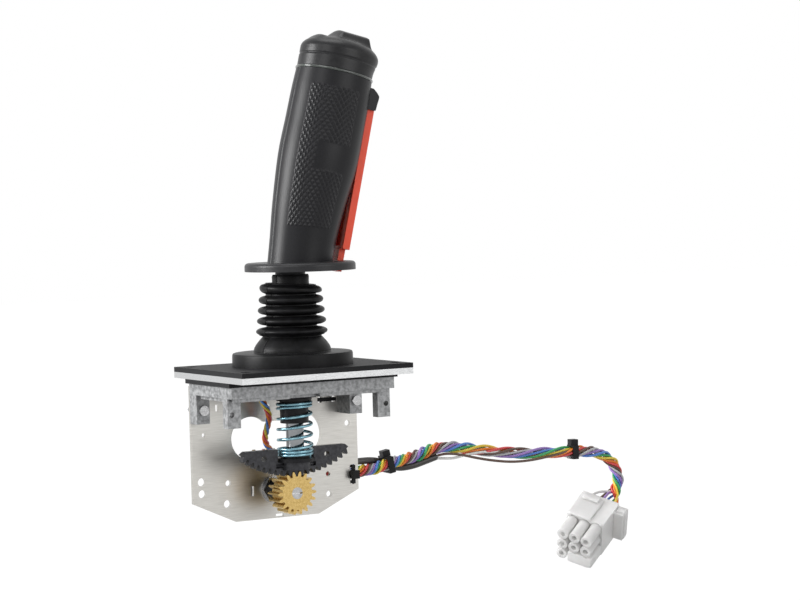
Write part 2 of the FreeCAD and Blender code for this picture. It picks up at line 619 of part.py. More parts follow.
mean_wall = "(shell_wall + shell_front_wall) / 2"
cavity_shift = "(shell_wall - shell_front_wall) / 2"
set_sizes(trigger_x=49.6, trigger_z=146.0, trigger_lean=13.4, trigger_travel=4.0, trigger_pin=1.5)
set_sizes(trigger_half=7.0, trigger_depth=2.1, trigger_length=82.0, trigger_wall=1.6, pocket_gap=0.4)
set_sizes(nub_half=8.9, nub_face=3.3, nub_low=-4.2, nub_high=5.6, striker_drop=22.0, spring_drop=42.0)
set_sizes(striker_radius=1.5, striker_length=8.2, striker_room=0.7, peg_radius=1.1, peg_offset=6.0)
at_trigger = ("trigger_x", "trigger_z", "trigger_lean")
pulled = ("trigger_x", "trigger_z", "(trigger_lean + trigger_travel)")
nub = box(("-12", "nub_face"), ("-nub_half", "nub_half"), ("nub_low", "nub_high"), at_trigger)
pocket_side = ("-trigger_half - pocket_gap", "trigger_half + pocket_gap")
finger_pocket = box(("-trigger_depth - pocket_gap", "20"), pocket_side, ("-100", "-3"), pulled)
eye_pocket = box(
    ("-trigger_depth - pocket_gap - 0.3", "trigger_depth + pocket_gap"), pocket_side, ("-8", "trigger_depth + 0.7"), at_trigger
)
nub_mouth = box(("trigger_depth + 0.1", "nub_face + 1"), ("-10", "10"), ("-9", "nub_low"), at_trigger)
trigger_pin_hole = cylinder("trigger_pin + fit_gap", "Y", ("0", "-nub_half - 1", "0"), "2 * nub_half + 2", at_trigger)
striker_hole = cylinder("striker_radius + striker_room", "X", ("-12", "0", "-striker_drop"), "14", at_trigger)
grip_solid = fuse(grip_loft("0", "0", "0"), nub)
grip_cavity = grip_loft(mean_wall, "shell_wall", cavity_shift)
set_sizes(grip_screw=1.2, post_radius=4.2, switch_back=12.6, switch_front=8.0, switch_half_tall=9.5)
grip_screw_places = ((13.0, 98.0, 18.1), (12.0, 128.0, 17.0), (21.0, 144.5, 18.6))
posts = [cylinder("post_radius", "Y", (x, f"-{side}", z), f"2 * {side}") for x, z, side in grip_screw_places]
switch_pegs = [
    cylinder("peg_radius", "Y", ("-switch_back", "-17", f"-striker_drop + {side} * peg_offset"), "16.9", at_trigger)
    for side in (-1, 1)
]
grip_hollow = cut(grip_solid, grip_cavity)
grip_inside = common(grip_loft("1", "1", "0"), fuse(*posts, *switch_pegs))
screw_holes = [
    cylinder("grip_screw + 0.05", "Y", (x, "-12", z), "40") for x, z, side in grip_screw_places
]
head_holes = [
    cylinder("2.9", "Y", (x, f"{side} - 3.6", z), "10") for x, z, side in grip_screw_places
]
grip_whole = cut(
    fuse(grip_hollow, grip_inside),
    finger_pocket,
    eye_pocket,
    nub_mouth,
    trigger_pin_hole,
    striker_hole,
    *screw_holes,
    *head_holes,
)
piece("grip_left", common(grip_whole, box(("-60", "100"), ("-60", "0"), ("50", "200"))))
piece("grip_right", common(grip_whole, box(("-60", "100"), ("0", "60"), ("50", "200"))))
grip_screws = []
for x, z, side in grip_screw_places:
    head = cylinder("2.6", "Y", (x, f"{side} - 3.6", z), "1.8")
    shank = cylinder("grip_screw", "Y", (x, "-11", z), f"{side} - 3.6 + 11.5")
    grip_screws.append(fuse(head, shank))
piece("grip_screws", group(*grip_screws))

# Grip core: a plug in the grip's foot, bored for the rod
set_sizes(core_gap=0.3)
core_form = grip_loft(f"{mean_wall} + core_gap", "shell_wall + core_gap", cavity_shift)
core_block = common(core_form, box(("-40", "60"), ("-40", "40"), (f"{rest_top}", "86")))
core_bore = cylinder("rod_radius + fit_gap", "Z", ("0", "0", "50"), "rod_top + 0.5 - 50")
piece("grip_core", cut(core_block, core_bore))

# Trigger: a long moulded channel hinged in the nub, with its return spring and snap switch
web = box(("0.6", "trigger_depth"), ("-trigger_half", "trigger_half"), ("-trigger_length", "-4.8"), at_trigger)
walls = [
    box(("-trigger_depth", "trigger_depth"), span, ("-trigger_length", "0"), at_trigger)
    for span in (("-trigger_half", "-trigger_half + trigger_wall"), ("trigger_half - trigger_wall", "trigger_half"))
]
eyes = [
    cylinder("trigger_depth", "Y", ("0", low, "0"), "trigger_wall", at_trigger)
    for low in ("-trigger_half", "trigger_half - trigger_wall")
]
foot = box(
    ("-trigger_depth", "trigger_depth"),
    ("-trigger_half", "trigger_half"),
    ("-trigger_length", "-trigger_length + 1.6"),
    at_trigger,
)
tab = box(("-1.8", "1.8"), ("-tab_width / 2", "tab_width / 2"), ("-trigger_length - 12", "-trigger_length + 1"), at_trigger)
trigger_bore = cylinder("trigger_pin + 0.05", "Y", ("0", "-10", "0"), "20", at_trigger)
piece("trigger", cut(fuse(web, *walls, *eyes, foot, tab), trigger_bore))
piece("trigger_pin", cylinder("trigger_pin", "Y", ("0", "-nub_half + 0.3", "0"), "2 * nub_half - 0.6", at_trigger))
switch_body = box(
    ("-15", "-switch_front"),
    ("-3.2", "3.2"),
    ("-striker_drop - switch_half_tall", "-striker_drop + switch_half_tall"),
    at_trigger,
)
switch_pocket = cylinder(
    "striker_radius + striker_room", "X", ("-switch_back + 1.2", "0", "-striker_drop"), "6", at_trigger
)
peg_holes = [
    cylinder("peg_radius + fit_gap", "Y", ("-switch_back", "-6", f"-striker_drop + {side} * peg_offset"), "12", at_trigger)
    for side in (-1, 1)
]
piece("trigger_switch", cut(switch_body, switch_pocket, *peg_holes))
blades = [
    box(("-19", "-15"), ("-1.2", "1.2"), (f"-striker_drop + {offset}", f"-striker_drop + {offset} + 0.5"), at_trigger)
    for offset in (-7, 0, 7)
]
piece("trigger_switch_terminals", group(*blades))
piece(
    "trigger_striker",
    cylinder("striker_radius", "X", ("0.6 - striker_length", "0", "-striker_drop"), "striker_length", at_trigger),
)
set_sizes(trigger_coil=1.9, trigger_wire=0.3)
pulled_gap = value("trigger_depth + pocket_gap") + value("spring_drop") * math.tan(math.radians(value("trigger_travel")))
trigger_coil = coil(value("trigger_coil"), value("trigger_wire"), 0.35, pulled_gap + 0.2, 4)
lean_turn = Rotation(Vector(0, 1, 0), value("trigger_lean"))
spring_foot = Vector(value("trigger_x"), 0, value("trigger_z")) + lean_turn.multVec(
    Vector(-pulled_gap, 0, -value("spring_drop"))
)
trigger_coil.Placement = Placement(spring_foot, lean_turn.multiply(Rotation(Vector(0, 1, 0), 90)))
shaped("trigger_spring", trigger_coil)

# Thumb rocker under the rubber cap: bead, carrier, switch, slider, rocker and pin
set_sizes(bead_thick=1.5, bead_half_x=21.7, bead_half_y=19.5, bead_bore_x=19.6, bead_bore_y=17.6)
set_sizes(rocker_height=9.5, rocker_pin=1.2, rocker_half=12.0, rocker_side=5.2, cap_wall=1.7)
set_sizes(stem_half=0.9, stem_side=1.2, stem_low=3.2, wiper_half=2.2, wiper_side=1.5, wiper_low=-1.4, wiper_top=4.4)
last_section = len(grip_sections)
at_top = (f"grip_centre_{last_section}", f"grip_height_{last_section}", f"grip_lean_{last_section}")


def oval(half_x, half_y, centre, low, high):
    """An upright oval plug in the grip top's leaning frame."""
    return loft([ellipse(half_x, half_y, centre, height, at_top) for height in (low, high)], True)


piece(
    "cap_bead",
    cut(
        oval("bead_half_x", "bead_half_y", "0", "0", "bead_thick"),
        oval("bead_bore_x", "bead_bore_y", "0", "-0.5", "bead_thick + 0.5"),
    ),
)
carrier_plug = oval(
    f"grip_half_x_{last_section} - {mean_wall} - 0.5",
    f"grip_half_y_{last_section} - shell_wall - 0.5",
    cavity_shift,
    "-6.5",
    "0.5",
)
carrier_flange = oval("bead_bore_x - 0.3", "bead_bore_y - 0.3", "0", "0", "bead_thick")
towers = [
    box(("-3.6", "3.6"), span, ("0", "rocker_height + 2.6"), at_top)
    for span in (("-rocker_side - 2.4", "-rocker_side - 0.4"), ("rocker_side + 0.4", "rocker_side + 2.4"))
]
carrier_pocket = box(("-9.3", "9.3"), ("-5.3", "5.3"), ("-8", "bead_thick + 0.5"), at_top)
tower_bore = cylinder("rocker_pin + fit_gap", "Y", ("0", "-12", "rocker_height"), "24", at_top)
piece(
    "rocker_carrier",
    cut(fuse(cut(fuse(carrier_plug, carrier_flange), carrier_pocket), *towers), tower_bore),
)
piece("rocker_pin", cylinder("rocker_pin", "Y", ("0", "-rocker_side - 2.3", "rocker_height"), "2 * rocker_side + 4.6", at_top))
rocker_bar = box(("-rocker_half", "rocker_half"), ("-rocker_side", "rocker_side"), ("rocker_height - 1", "rocker_height + 3.4"), at_top)
rocker_boss = cylinder("2.6", "Y", ("0", "-rocker_side", "rocker_height"), "2 * rocker_side", at_top)
rocker_stem = box(
    ("-stem_half", "stem_half"), ("-stem_side", "stem_side"), ("stem_low", "rocker_height"), at_top
)
rocker_bore = cylinder("rocker_pin + 0.05", "Y", ("0", "-12", "rocker_height"), "24", at_top)
piece("thumb_rocker", cut(fuse(rocker_bar, rocker_boss, rocker_stem), rocker_bore))
rocker_case = box(("-9", "9"), ("-5", "5"), ("-7.5", "1.2"), at_top)
wiper_track = box(
    ("-wiper_half - 1.9", "wiper_half + 1.9"), ("-wiper_side - 0.2", "wiper_side + 0.2"), ("wiper_low - 0.6", "3"), at_top
)
piece("rocker_switch", cut(rocker_case, wiper_track))
wiper_body = box(("-wiper_half", "wiper_half"), ("-wiper_side", "wiper_side"), ("wiper_low", "wiper_top"), at_top)
wiper_socket = box(
    ("-stem_half - fit_gap", "stem_half + fit_gap"),
    ("-stem_side - fit_gap", "stem_side + fit_gap"),
    ("stem_low", "wiper_top + 1"),
    at_top,
)
piece("rocker_wiper", cut(wiper_body, wiper_socket))
pins = [box((f"{x} - 0.4", f"{x} + 0.4"), ("-1", "1"), ("-11.5", "-7.5"), at_top) for x in (-5, 0, 5)]
piece("rocker_switch_terminals", group(*pins))

cap_sections = (
    (1.5, 0.0, 20.7, 18.5),
    (7.0, 0.0, 20.9, 18.6),
    (12.0, 0.2, 20.8, 18.2),
    (16.5, 0.6, 19.4, 16.6),
    (19.6, 1.6, 16.6, 13.6),
    (21.4, 3.0, 12.6, 9.4),
)
for number, section in enumerate(cap_sections, 1):
    names = ("cap_height_", "cap_centre_", "cap_half_x_", "cap_half_y_")
    set_sizes(**{f"{name}{number}": size for name, size in zip(names, section)})


def cap_loft(wall):
    """The rubber cap's outer form, or its hollow."""
    outlines = []
    for number in range(1, len(cap_sections) + 1):
        drop = "0" if number == 1 else wall
        outlines.append(
            ellipse(
                f"cap_half_x_{number} - ({wall})",
                f"cap_half_y_{number} - ({wall})",
                f"cap_centre_{number}",
                f"cap_height_{number} - ({drop})",
                at_top,
            )
        )
    return loft(outlines, True)


ridge = common(
    box(("-5.5", "17.5"), ("-8.2", "8.2"), ("12", "24.6"), at_top),
    cylinder("14.5", "X", ("-6", "0", "10.3"), "24", at_top),
)
thumb_bump = common(
    box(("-15.5", "-6.5"), ("-6.5", "6.5"), ("10", "19.8"), at_top),
    cylinder("11", "X", ("-16", "0", "9.0"), "12", at_top),
)
cap_hollow = cap_loft("cap_wall")
piece("thumb_cap", cut(fuse(cap_loft("0"), ridge, thumb_bump), cap_hollow))


# Wiring: leads from the lever, the harness to the plug, its sheath, ties and connector
def route(points):
    """Straight runs joined by tangent arcs through hand-chosen points, with the arc radii."""
    points = [Vector(*point) for point in points]
    edges, radii, start = [], [], points[0]
    for before, here, after in zip(points, points[1:], points[2:]):
        back, ahead = (before - here), (after - here)
        shorter = min(back.Length, ahead.Length)
        back.normalize()
        ahead.normalize()
        turn = math.pi - back.getAngle(ahead)
        radius = 0.45 * shorter / math.tan(turn / 2)
        radii.append(radius)
        first, last = here + back * 0.45 * shorter, here + ahead * 0.45 * shorter
        inward = (back + ahead).normalize()
        middle = here + inward * (radius / math.cos(turn / 2) - radius)
        edges.append(Part.LineSegment(start, first).toShape())
        edges.append(Part.Arc(first, middle, last).toShape())
        start = last
    edges.append(Part.LineSegment(start, points[-1]).toShape())
    return Part.Wire(edges), radii


def tube(label, points, radius):
    """A round lead along a route; its volume is compared with its section times its length."""
    path, radii = route(points)
    ahead = (Vector(*points[1]) - Vector(*points[0])).normalize()
    section = Part.Wire(Part.makeCircle(radius, Vector(*points[0]), ahead))
    solid = path.makePipeShell([section], True, False)
    expected = math.pi * radius**2 * path.Length
    print(f"{label}: length {path.Length:.1f}, volume ratio {solid.Volume / expected:.4f}, radii",
          [round(number, 1) for number in radii])
    return shaped(label, solid)


set_sizes(bundle_radius=2.5, sheath_radius=1.9, lead_radius=1.7, tie_wall=1.0, tie_width=3.6)
lead_points = [
    (-12, 17, -11),
    (-12, 17, -18),
    (-9, 18.5, -26),
    (-4, 23, -33),
    (1, 29, -38.5),
    (9, 34.4, -42),
    (13.4, 36.165, -51.771),
    (20.5, 36.3, -53.8),
]
harness_points = [
    (20.5, 36.3, -53.8),
    (31, 36.5, -56.8),
    (43, 35.5, -58.3),
    (59.4, 33.8, -58.4),
    (67.2, 32.8, -57.9),
    (76.3, 32.0, -55.5),
    (84.8, 31.5, -54.3),
    (94.4, 31.0, -52.4),
    (104.2, 30.6, -49.2),
    (114.7, 30.2, -48.6),
    (127.9, 30.0, -51.0),
    (146.2, 30.0, -54.2),
    (164.7, 30.0, -56.7),
    (184.3, 30.0, -57.6),
    (200.3, 30.0, -58.3),
    (209.3, 28.0, -58.2),
    (222.3, 32.4, -61.1),
    (230.5, 32.1, -66.9),
    (234.0, 31.5, -74.4),
    (232.8, 31.8, -82.7),
    (227.329, 32.603, -89.176),
    (217.8, 28.3, -94.9),
]
sheath_points = [
    (56.6, 34.2, -53.1),
    (63.2, 33.3, -52.7),
    (72.2, 36.6, -54.1),
    (78.6, 36.6, -56.8),
    (83.5, 34.0, -58.9),
    (90.9, 31.2, -58.1),
    (99.0, 31.0, -56.1),
    (107.0, 31.0, -54.0),
]
tube("lever_leads", lead_points, value("lead_radius"))
tube("harness_bundle", harness_points, value("bundle_radius"))
tube("sheathed_lead", sheath_points, value("sheath_radius"))


def band(point, ahead, half_tall, half_deep):
    """A cable tie: a squared band across the bundle with its head on top."""
    frame = Placement(Vector(*point), Rotation(Vector(1, 0, 0), Vector(*ahead)))
    wall, wide = value("tie_wall"), value("tie_width")
    outer = Part.makeBox(
        wide, 2 * (half_deep + wall), 2 * (half_tall + wall), Vector(-wide / 2, -half_deep - wall, -half_tall - wall)
    )
    inner = Part.makeBox(wide + 2, 2 * half_deep, 2 * half_tall, Vector(-wide / 2 - 1, -half_deep, -half_tall))
    head = Part.makeBox(4.6, 4.6, 3.4, Vector(-2.3, -2.3, half_tall + wall))
    whole = outer.fuse(head).cut(inner)
    whole.Placement = frame
    return whole


# The first tie holds the bundle with the sheathed lead behind it, and the second the bundle alone.
set_sizes(tie_gap=0.5, pair_apart=4.6, pair_slant=0.6)
single_half = value("bundle_radius + tie_gap")
pair_deep = value("(pair_apart + bundle_radius + sheath_radius) / 2 + tie_gap")
first_tie = band((76.4, 34.0, -55.95), (0.978, -0.072, 0.197), value("bundle_radius + tie_gap + pair_slant"), pair_deep)
second_tie = band((200.3, 29.8, -58.25), (0.994, -0.109, -0.017), single_half, single_half)
shaped("cable_ties", Part.makeCompound([first_tie, second_tie]))
plate_tie_y = value("casting_back")
tie_outer = Part.makeBox(2.0, 15.4, 10.2, Vector(48.8, plate_tie_y - 1.3, -63.9))
tie_inner = Part.makeBox(4.0, 12.8, 7.6, Vector(47.8, plate_tie_y - 0.02, -62.6))
tie_head = Part.makeBox(4.0, 3.2, 4.6, Vector(47.8, plate_tie_y - 4.5, -61.1))
shaped("plate_tie", tie_outer.cut(tie_inner).fuse(tie_head))
strap_x = ("upper_tie_left - strap_half", "upper_tie_right + strap_half")
strap_z = ("upper_tie_height - strap_half", "upper_tie_height + strap_half")
strap_loop = box(strap_x, ("casting_back - strap_thick", f"{plate_back} + strap_thick"), strap_z)
strap_inside = box(
    ("upper_tie_left + strap_half", "upper_tie_right - strap_half"),
    ("casting_back - fit_gap", f"{plate_back} + fit_gap"),
    ("upper_tie_height - 3", "upper_tie_height + 3"),
)
piece("upper_tie", cut(strap_loop, strap_inside))

set_sizes(plug_yaw=24.3, plug_pitch=-28.7, plug_roll=19.9, plug_x=217.8, plug_y=28.3, plug_z=-94.9)
set_sizes(plug_half=11.6, plug_length=22.0, silo_radius=3.4, silo_length=14.0, silo_pitch=7.5, contact_radius=1.2)
plug_place = Placement(
    Vector(value("plug_x"), value("plug_y"), value("plug_z")),
    Rotation(value("plug_yaw"), value("plug_pitch"), value("plug_roll")),
)
half, long = value("plug_half"), value("plug_length")
pitch, silo_long = value("silo_pitch"), value("silo_length")
places = [(y * pitch, z * pitch) for y in (-1, 0, 1) for z in (-1, 0, 1)]
body = Part.makeBox(long, 2 * half, 2 * half, Vector(-long, -half, -half))
flange = Part.makeBox(7, 2 * half + 6, 2 * half - 4, Vector(-7, -half - 6, -half + 2))
housing = body.fuse(flange)
bore = value("contact_radius + 0.5")
for y, z in places:
    housing = housing.cut(Part.makeCylinder(bore, long + 2, Vector(-long - 1, y, z), Vector(1, 0, 0)))
housing.Placement = plug_place
shaped("connector_housing", housing)
silos = Part.makeCompound([
    Part.makeCylinder(value("silo_radius"), silo_long, Vector(-long - silo_long, y, z), Vector(1, 0, 0)).cut(
        Part.makeCylinder(bore, silo_long + 2, Vector(-long - silo_long - 1, y, z), Vector(1, 0, 0))
    )
    for y, z in places
])
silos.Placement = plug_place
shaped("connector_silos", silos)
contacts = Part.makeCompound([
    Part.makeCylinder(value("contact_radius + 0.48"), 8, Vector(-long + 3, y, z), Vector(1, 0, 0)).fuse(
        Part.makeCylinder(value("contact_radius"), long + silo_long - 6, Vector(-long - silo_long + 3, y, z), Vector(1, 0, 0))
    )
    for y, z in places
])
contacts.Placement = plug_place
shaped("connector_contacts", contacts)

doc.recompute()
broken = [obj.Name for obj in doc.Objects if "Invalid" in obj.State or "Error" in obj.State]
assert not broken, broken
for obj in pieces:
    assert not obj.Shape.isNull() and obj.Shape.isValid(), obj.Label
for obj in pieces:
    obj.Shape.exportStep(f"parts/{obj.Label}.step")
print(len(pieces), "pieces")
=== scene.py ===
"""Looks of a panel-mounted industrial joystick.

Sizes are in millimetres, and meshes are made in metres.
"""

import math

import bpy
import numpy as np
from mathutils import Matrix, Vector


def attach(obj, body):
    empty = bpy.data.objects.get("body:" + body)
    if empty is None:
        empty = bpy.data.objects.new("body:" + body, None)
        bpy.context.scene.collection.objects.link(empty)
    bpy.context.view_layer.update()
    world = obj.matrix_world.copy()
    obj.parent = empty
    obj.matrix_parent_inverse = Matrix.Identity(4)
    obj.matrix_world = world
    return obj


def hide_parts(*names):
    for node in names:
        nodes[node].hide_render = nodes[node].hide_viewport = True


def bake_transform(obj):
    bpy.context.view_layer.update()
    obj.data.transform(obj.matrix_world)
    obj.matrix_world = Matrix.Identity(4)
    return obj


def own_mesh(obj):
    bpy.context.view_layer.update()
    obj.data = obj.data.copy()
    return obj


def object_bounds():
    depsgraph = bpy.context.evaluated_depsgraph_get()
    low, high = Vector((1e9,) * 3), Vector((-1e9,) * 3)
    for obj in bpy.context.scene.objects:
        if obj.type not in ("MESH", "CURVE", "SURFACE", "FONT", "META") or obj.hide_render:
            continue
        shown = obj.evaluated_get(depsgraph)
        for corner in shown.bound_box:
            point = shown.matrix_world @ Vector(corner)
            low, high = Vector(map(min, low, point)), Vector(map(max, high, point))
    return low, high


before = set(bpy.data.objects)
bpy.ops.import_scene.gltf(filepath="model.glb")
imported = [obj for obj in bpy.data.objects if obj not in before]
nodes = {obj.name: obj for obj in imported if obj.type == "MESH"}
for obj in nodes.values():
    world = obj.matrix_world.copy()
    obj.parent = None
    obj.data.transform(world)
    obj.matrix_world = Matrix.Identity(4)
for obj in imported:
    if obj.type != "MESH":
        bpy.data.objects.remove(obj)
cad_low, cad_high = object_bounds()

# Studio: a pale floor just under the hanging plug, white surroundings and soft lamps.
# The camera stands low before the left front corner, with a long lens.
view_right = Vector((0.8574, -0.5139, -0.0269))
view_up = Vector((0.0446, 0.0222, 0.9988))
view_back = Vector((-0.5127, -0.8576, 0.0419))
camera_place = (-0.6239, -1.1565, 0.0938)
camera = bpy.data.objects.new("Camera", bpy.data.cameras.new("Camera"))
camera.data.sensor_width = 36
camera.data.lens = 111.25
camera.data.clip_start = 0.01
camera_turn = Matrix((view_right, view_up, view_back)).transposed().to_4x4()
camera.matrix_world = Matrix.Translation(camera_place) @ camera_turn
bpy.context.scene.collection.objects.link(camera)
bpy.context.scene.camera = camera
bpy.context.scene.view_settings.view_transform = "Standard"


def seen_white(tree, shown, lit, output):
    """Show white to the camera, to gloss and through glass, and the other shader to all else."""
    rays = tree.nodes.new("ShaderNodeLightPath")
    glossy_too = tree.nodes.new("ShaderNodeMath")
    glossy_too.operation = "MAXIMUM"
    either = tree.nodes.new("ShaderNodeMath")
    either.operation = "MAXIMUM"
    choice = tree.nodes.new("ShaderNodeMixShader")
    tree.links.new(rays.outputs["Is Camera Ray"], glossy_too.inputs[0])
    tree.links.new(rays.outputs["Is Glossy Ray"], glossy_too.inputs[1])
    tree.links.new(glossy_too.outputs[0], either.inputs[0])
    tree.links.new(rays.outputs["Is Transmission Ray"], either.inputs[1])
    tree.links.new(either.outputs[0], choice.inputs[0])
    tree.links.new(lit.outputs[0], choice.inputs[1])
    tree.links.new(shown.outputs[0], choice.inputs[2])
    tree.links.new(choice.outputs[0], output.inputs["Surface"])


world = bpy.data.worlds.new("Surroundings")
bpy.context.scene.world = world
world.use_nodes = True
world.node_tree.nodes.clear()
surround_shown = world.node_tree.nodes.new("ShaderNodeBackground")
surround_lit = world.node_tree.nodes.new("ShaderNodeBackground")
surround_lit.inputs["Strength"].default_value = 0.22
surround_end = world.node_tree.nodes.new("ShaderNodeOutputWorld")
surround_shown.inputs["Color"].default_value = (1, 1, 1, 1)
surround_lit.inputs["Color"].default_value = (1, 1, 1, 1)
seen_white(world.node_tree, surround_shown, surround_lit, surround_end)

floor_half = 4.0
floor_gap = 0.0006
floor_level = cad_low.z - floor_gap
floor_corners = ((-1, -1), (1, -1), (1, 1), (-1, 1))
floor_points = [(x * floor_half, y * floor_half, floor_level) for x, y in floor_corners]
floor_mesh = bpy.data.meshes.new("floor")
floor_mesh.from_pydata(floor_points, [], [(0, 1, 2, 3)])
floor = bpy.data.objects.new("floor", floor_mesh)
bpy.context.scene.collection.objects.link(floor)
floor_paint = bpy.data.materials.new("floor_paint")
floor_paint.use_nodes = True
floor_tree = floor_paint.node_tree
floor_lit = floor_tree.nodes["Principled BSDF"]
floor_lit.inputs["Base Color"].default_value = (0.55, 0.55, 0.55, 1)
floor_lit.inputs["Roughness"].default_value = 0.9
floor_glow = floor_tree.nodes.new("ShaderNodeEmission")
floor_pale = floor_tree.nodes.new("ShaderNodeMixShader")
floor_glow.inputs["Strength"].default_value = 1.10
floor_pale.inputs[0].default_value = 0.9
floor_tree.links.new(floor_lit.outputs[0], floor_pale.inputs[1])
floor_tree.links.new(floor_glow.outputs[0], floor_pale.inputs[2])
seen_white(floor_tree, floor_pale, floor_lit, floor_tree.nodes["Material Output"])
floor_mesh.materials.append(floor_paint)

joystick_middle = Vector((0.06, 0, 0.05))


def lamp(name, place, size, watts):
    """A square soft lamp that faces the joystick's middle."""
    light = bpy.data.lights.new(name, "AREA")
    light.size = size
    light.energy = watts
    holder = bpy.data.objects.new(name, light)
    holder.location = place
    towards = joystick_middle - Vector(place)
    holder.rotation_euler = towards.to_track_quat("-Z", "Y").to_euler()
    bpy.context.scene.collection.objects.link(holder)


lamp("edge_lamp", (-1.25, 0.40, 0.45), 0.6, 26.0)
lamp("key_lamp", (-1.1, -0.9, 0.9), 0.7, 6.0)
lamp("fill_lamp", (0.6, -1.4, 0.5), 0.9, 6.5)
lamp("top_lamp", (0.1, 0.1, 1.4), 0.8, 7.0)

# Mounting casting: grey die-cast alloy with a fine grain, four lugs and the pivot bosses.
# The steel pivot pin, its clips and the four countersunk screws go in it.


def finish(name, colour, drift, gloss, grain, bump=0.0, metal=0.0, along=(1, 1, 1), **sockets):
    """A finish with noise of a grain in mm, stretched along each axis.

    The noise takes the colour to its drift and the roughness from one gloss value to the other, and
    raises the bump. Sockets are values that are the same all over.
    """
    material = bpy.data.materials.new(name)
    material.use_nodes = True
    tree = material.node_tree
    shader = tree.nodes["Principled BSDF"]
    place = tree.nodes.new("ShaderNodeTexCoord")
    stretch = tree.nodes.new("ShaderNodeMapping")
    stretch.inputs["Scale"].default_value = along
    noise = tree.nodes.new("ShaderNodeTexNoise")
    noise.inputs["Scale"].default_value = 1000 / grain
    noise.inputs["Detail"].default_value = 5
    tint = tree.nodes.new("ShaderNodeValToRGB")
    tint.color_ramp.elements[0].position = 0.3
    tint.color_ramp.elements[1].position = 0.7
    tint.color_ramp.elements[0].color = (*colour, 1)
    tint.color_ramp.elements[1].color = (*drift, 1)
    rough = tree.nodes.new("ShaderNodeMapRange")
    rough.inputs["To Min"].default_value, rough.inputs["To Max"].default_value = gloss
    relief = tree.nodes.new("ShaderNodeBump")
    relief.inputs["Strength"].default_value = bump
    relief.inputs["Distance"].default_value = 0.0002
    tree.links.new(place.outputs["Object"], stretch.inputs["Vector"])
    tree.links.new(stretch.outputs[0], noise.inputs["Vector"])
    tree.links.new(noise.outputs["Fac"], tint.inputs["Fac"])
    tree.links.new(noise.outputs["Fac"], rough.inputs["Value"])
    tree.links.new(noise.outputs["Fac"], relief.inputs["Height"])
    tree.links.new(tint.outputs["Color"], shader.inputs["Base Color"])
    tree.links.new(rough.outputs[0], shader.inputs["Roughness"])
    tree.links.new(relief.outputs[0], shader.inputs["Normal"])
    shader.inputs["Metallic"].default_value = metal
    for socket, amount in sockets.items():
        shader.inputs[socket.replace("_", " ")].default_value = amount
    return material


def dress(material, *names):
    """Put a finish on CAD nodes."""
    for name in names:
        nodes[name].data.materials.clear()
        nodes[name].data.materials.append(material)


casting_skin = finish(
    "die_cast_alloy",
    colour=(0.15, 0.152, 0.155),
    drift=(0.37, 0.375, 0.38),
    gloss=(0.36, 0.64),
    grain=1.9,
    bump=0.55,
    metal=0.75,
)
turned_steel = finish(
    "turned_steel",
    colour=(0.36, 0.36, 0.365),
    drift=(0.48, 0.48, 0.485),
    gloss=(0.16, 0.30),
    grain=2.0,
    bump=0.05,
    metal=1.0,
)
dress(casting_skin, "mounting_casting")
dress(turned_steel, "pivot_pin", "pivot_clips", "frame_screws")

# Trim plate, pad and gasket: a bright satin aluminium plate between two sheets of black rubber.
# The gasket seals against the panel, and the pad lies under the boot's foot.
satin_plate = finish(
    "satin_aluminium",
    colour=(0.46, 0.465, 0.47),
    drift=(0.62, 0.625, 0.63),
    gloss=(0.22, 0.36),
    grain=1.4,
    bump=0.08,
    metal=1.0,
    along=(1, 12, 12),
)
sheet_rubber = finish(
    "sheet_rubber",
    colour=(0.005, 0.005, 0.006),
    drift=(0.012, 0.012, 0.013),
    gloss=(0.48, 0.66),
    grain=1.6,
    bump=0.20,
    Specular_IOR_Level=0.16,
)
dress(satin_plate, "trim_plate")
dress(sheet_rubber, "boot_pad", "lower_gasket")

# Side plate: stainless sheet brushed along its length, held by two slotted screws with nuts.
# A nylon tie goes through its right-hand slots, and a small one through two holes under the casting.
brushed_sheet = finish(
    "brushed_stainless",
    colour=(0.43, 0.418, 0.392),
    drift=(0.54, 0.528, 0.50),
    gloss=(0.24, 0.44),
    grain=9.0,
    bump=0.12,
    metal=1.0,
    along=(1, 1, 30),
)
tie_nylon = finish(
    "black_nylon",
    colour=(0.005, 0.005, 0.006),
    drift=(0.012, 0.012, 0.013),
    gloss=(0.35, 0.50),
    grain=2.0,
    bump=0.05,
    Specular_IOR_Level=0.16,
)
dress(brushed_sheet, "side_plate")
dress(turned_steel, "side_plate_screws", "side_plate_nuts")
dress(tie_nylon, "plate_tie", "upper_tie", "cable_ties")

# Potentiometer and gears: a moulded body behind the plate, with a brass pinion on its steel shaft.
# A blackened steel sector, pinned to the lever, turns the pinion.
moulded_black = finish(
    "moulded_black",
    colour=(0.005, 0.005, 0.006),
    drift=(0.013, 0.013, 0.015),
    gloss=(0.30, 0.44),
    grain=0.8,
    bump=0.08,
    Specular_IOR_Level=0.16,
)
tinned = finish(
    "tinned_blade",
    colour=(0.55, 0.55, 0.53),
    drift=(0.66, 0.66, 0.64),
    gloss=(0.30, 0.45),
    grain=1.0,
    bump=0.05,
    metal=1.0,
)
cut_brass = finish(
    "cut_brass",
    colour=(0.47, 0.32, 0.11),
    drift=(0.60, 0.43, 0.17),
    gloss=(0.20, 0.34),
    grain=1.2,
    bump=0.06,
    metal=1.0,
)
blackened = finish(
    "blackened_steel",
    colour=(0.020, 0.020, 0.023),
    drift=(0.045, 0.045, 0.050),
    gloss=(0.34, 0.50),
    grain=1.5,
    bump=0.10,
    metal=0.6,
)
dress(moulded_black, "potentiometer")
dress(tinned, "pot_terminals", "trigger_switch_terminals", "rocker_switch_terminals")
dress(tinned, "connector_contacts")
dress(turned_steel, "pot_washer", "pot_nut", "pot_shaft", "pinion_grub_screw", "sector_pin")
dress(cut_brass, "brass_pinion", "pivot_bushes")
dress(blackened, "gear_sector", "pivot_block")

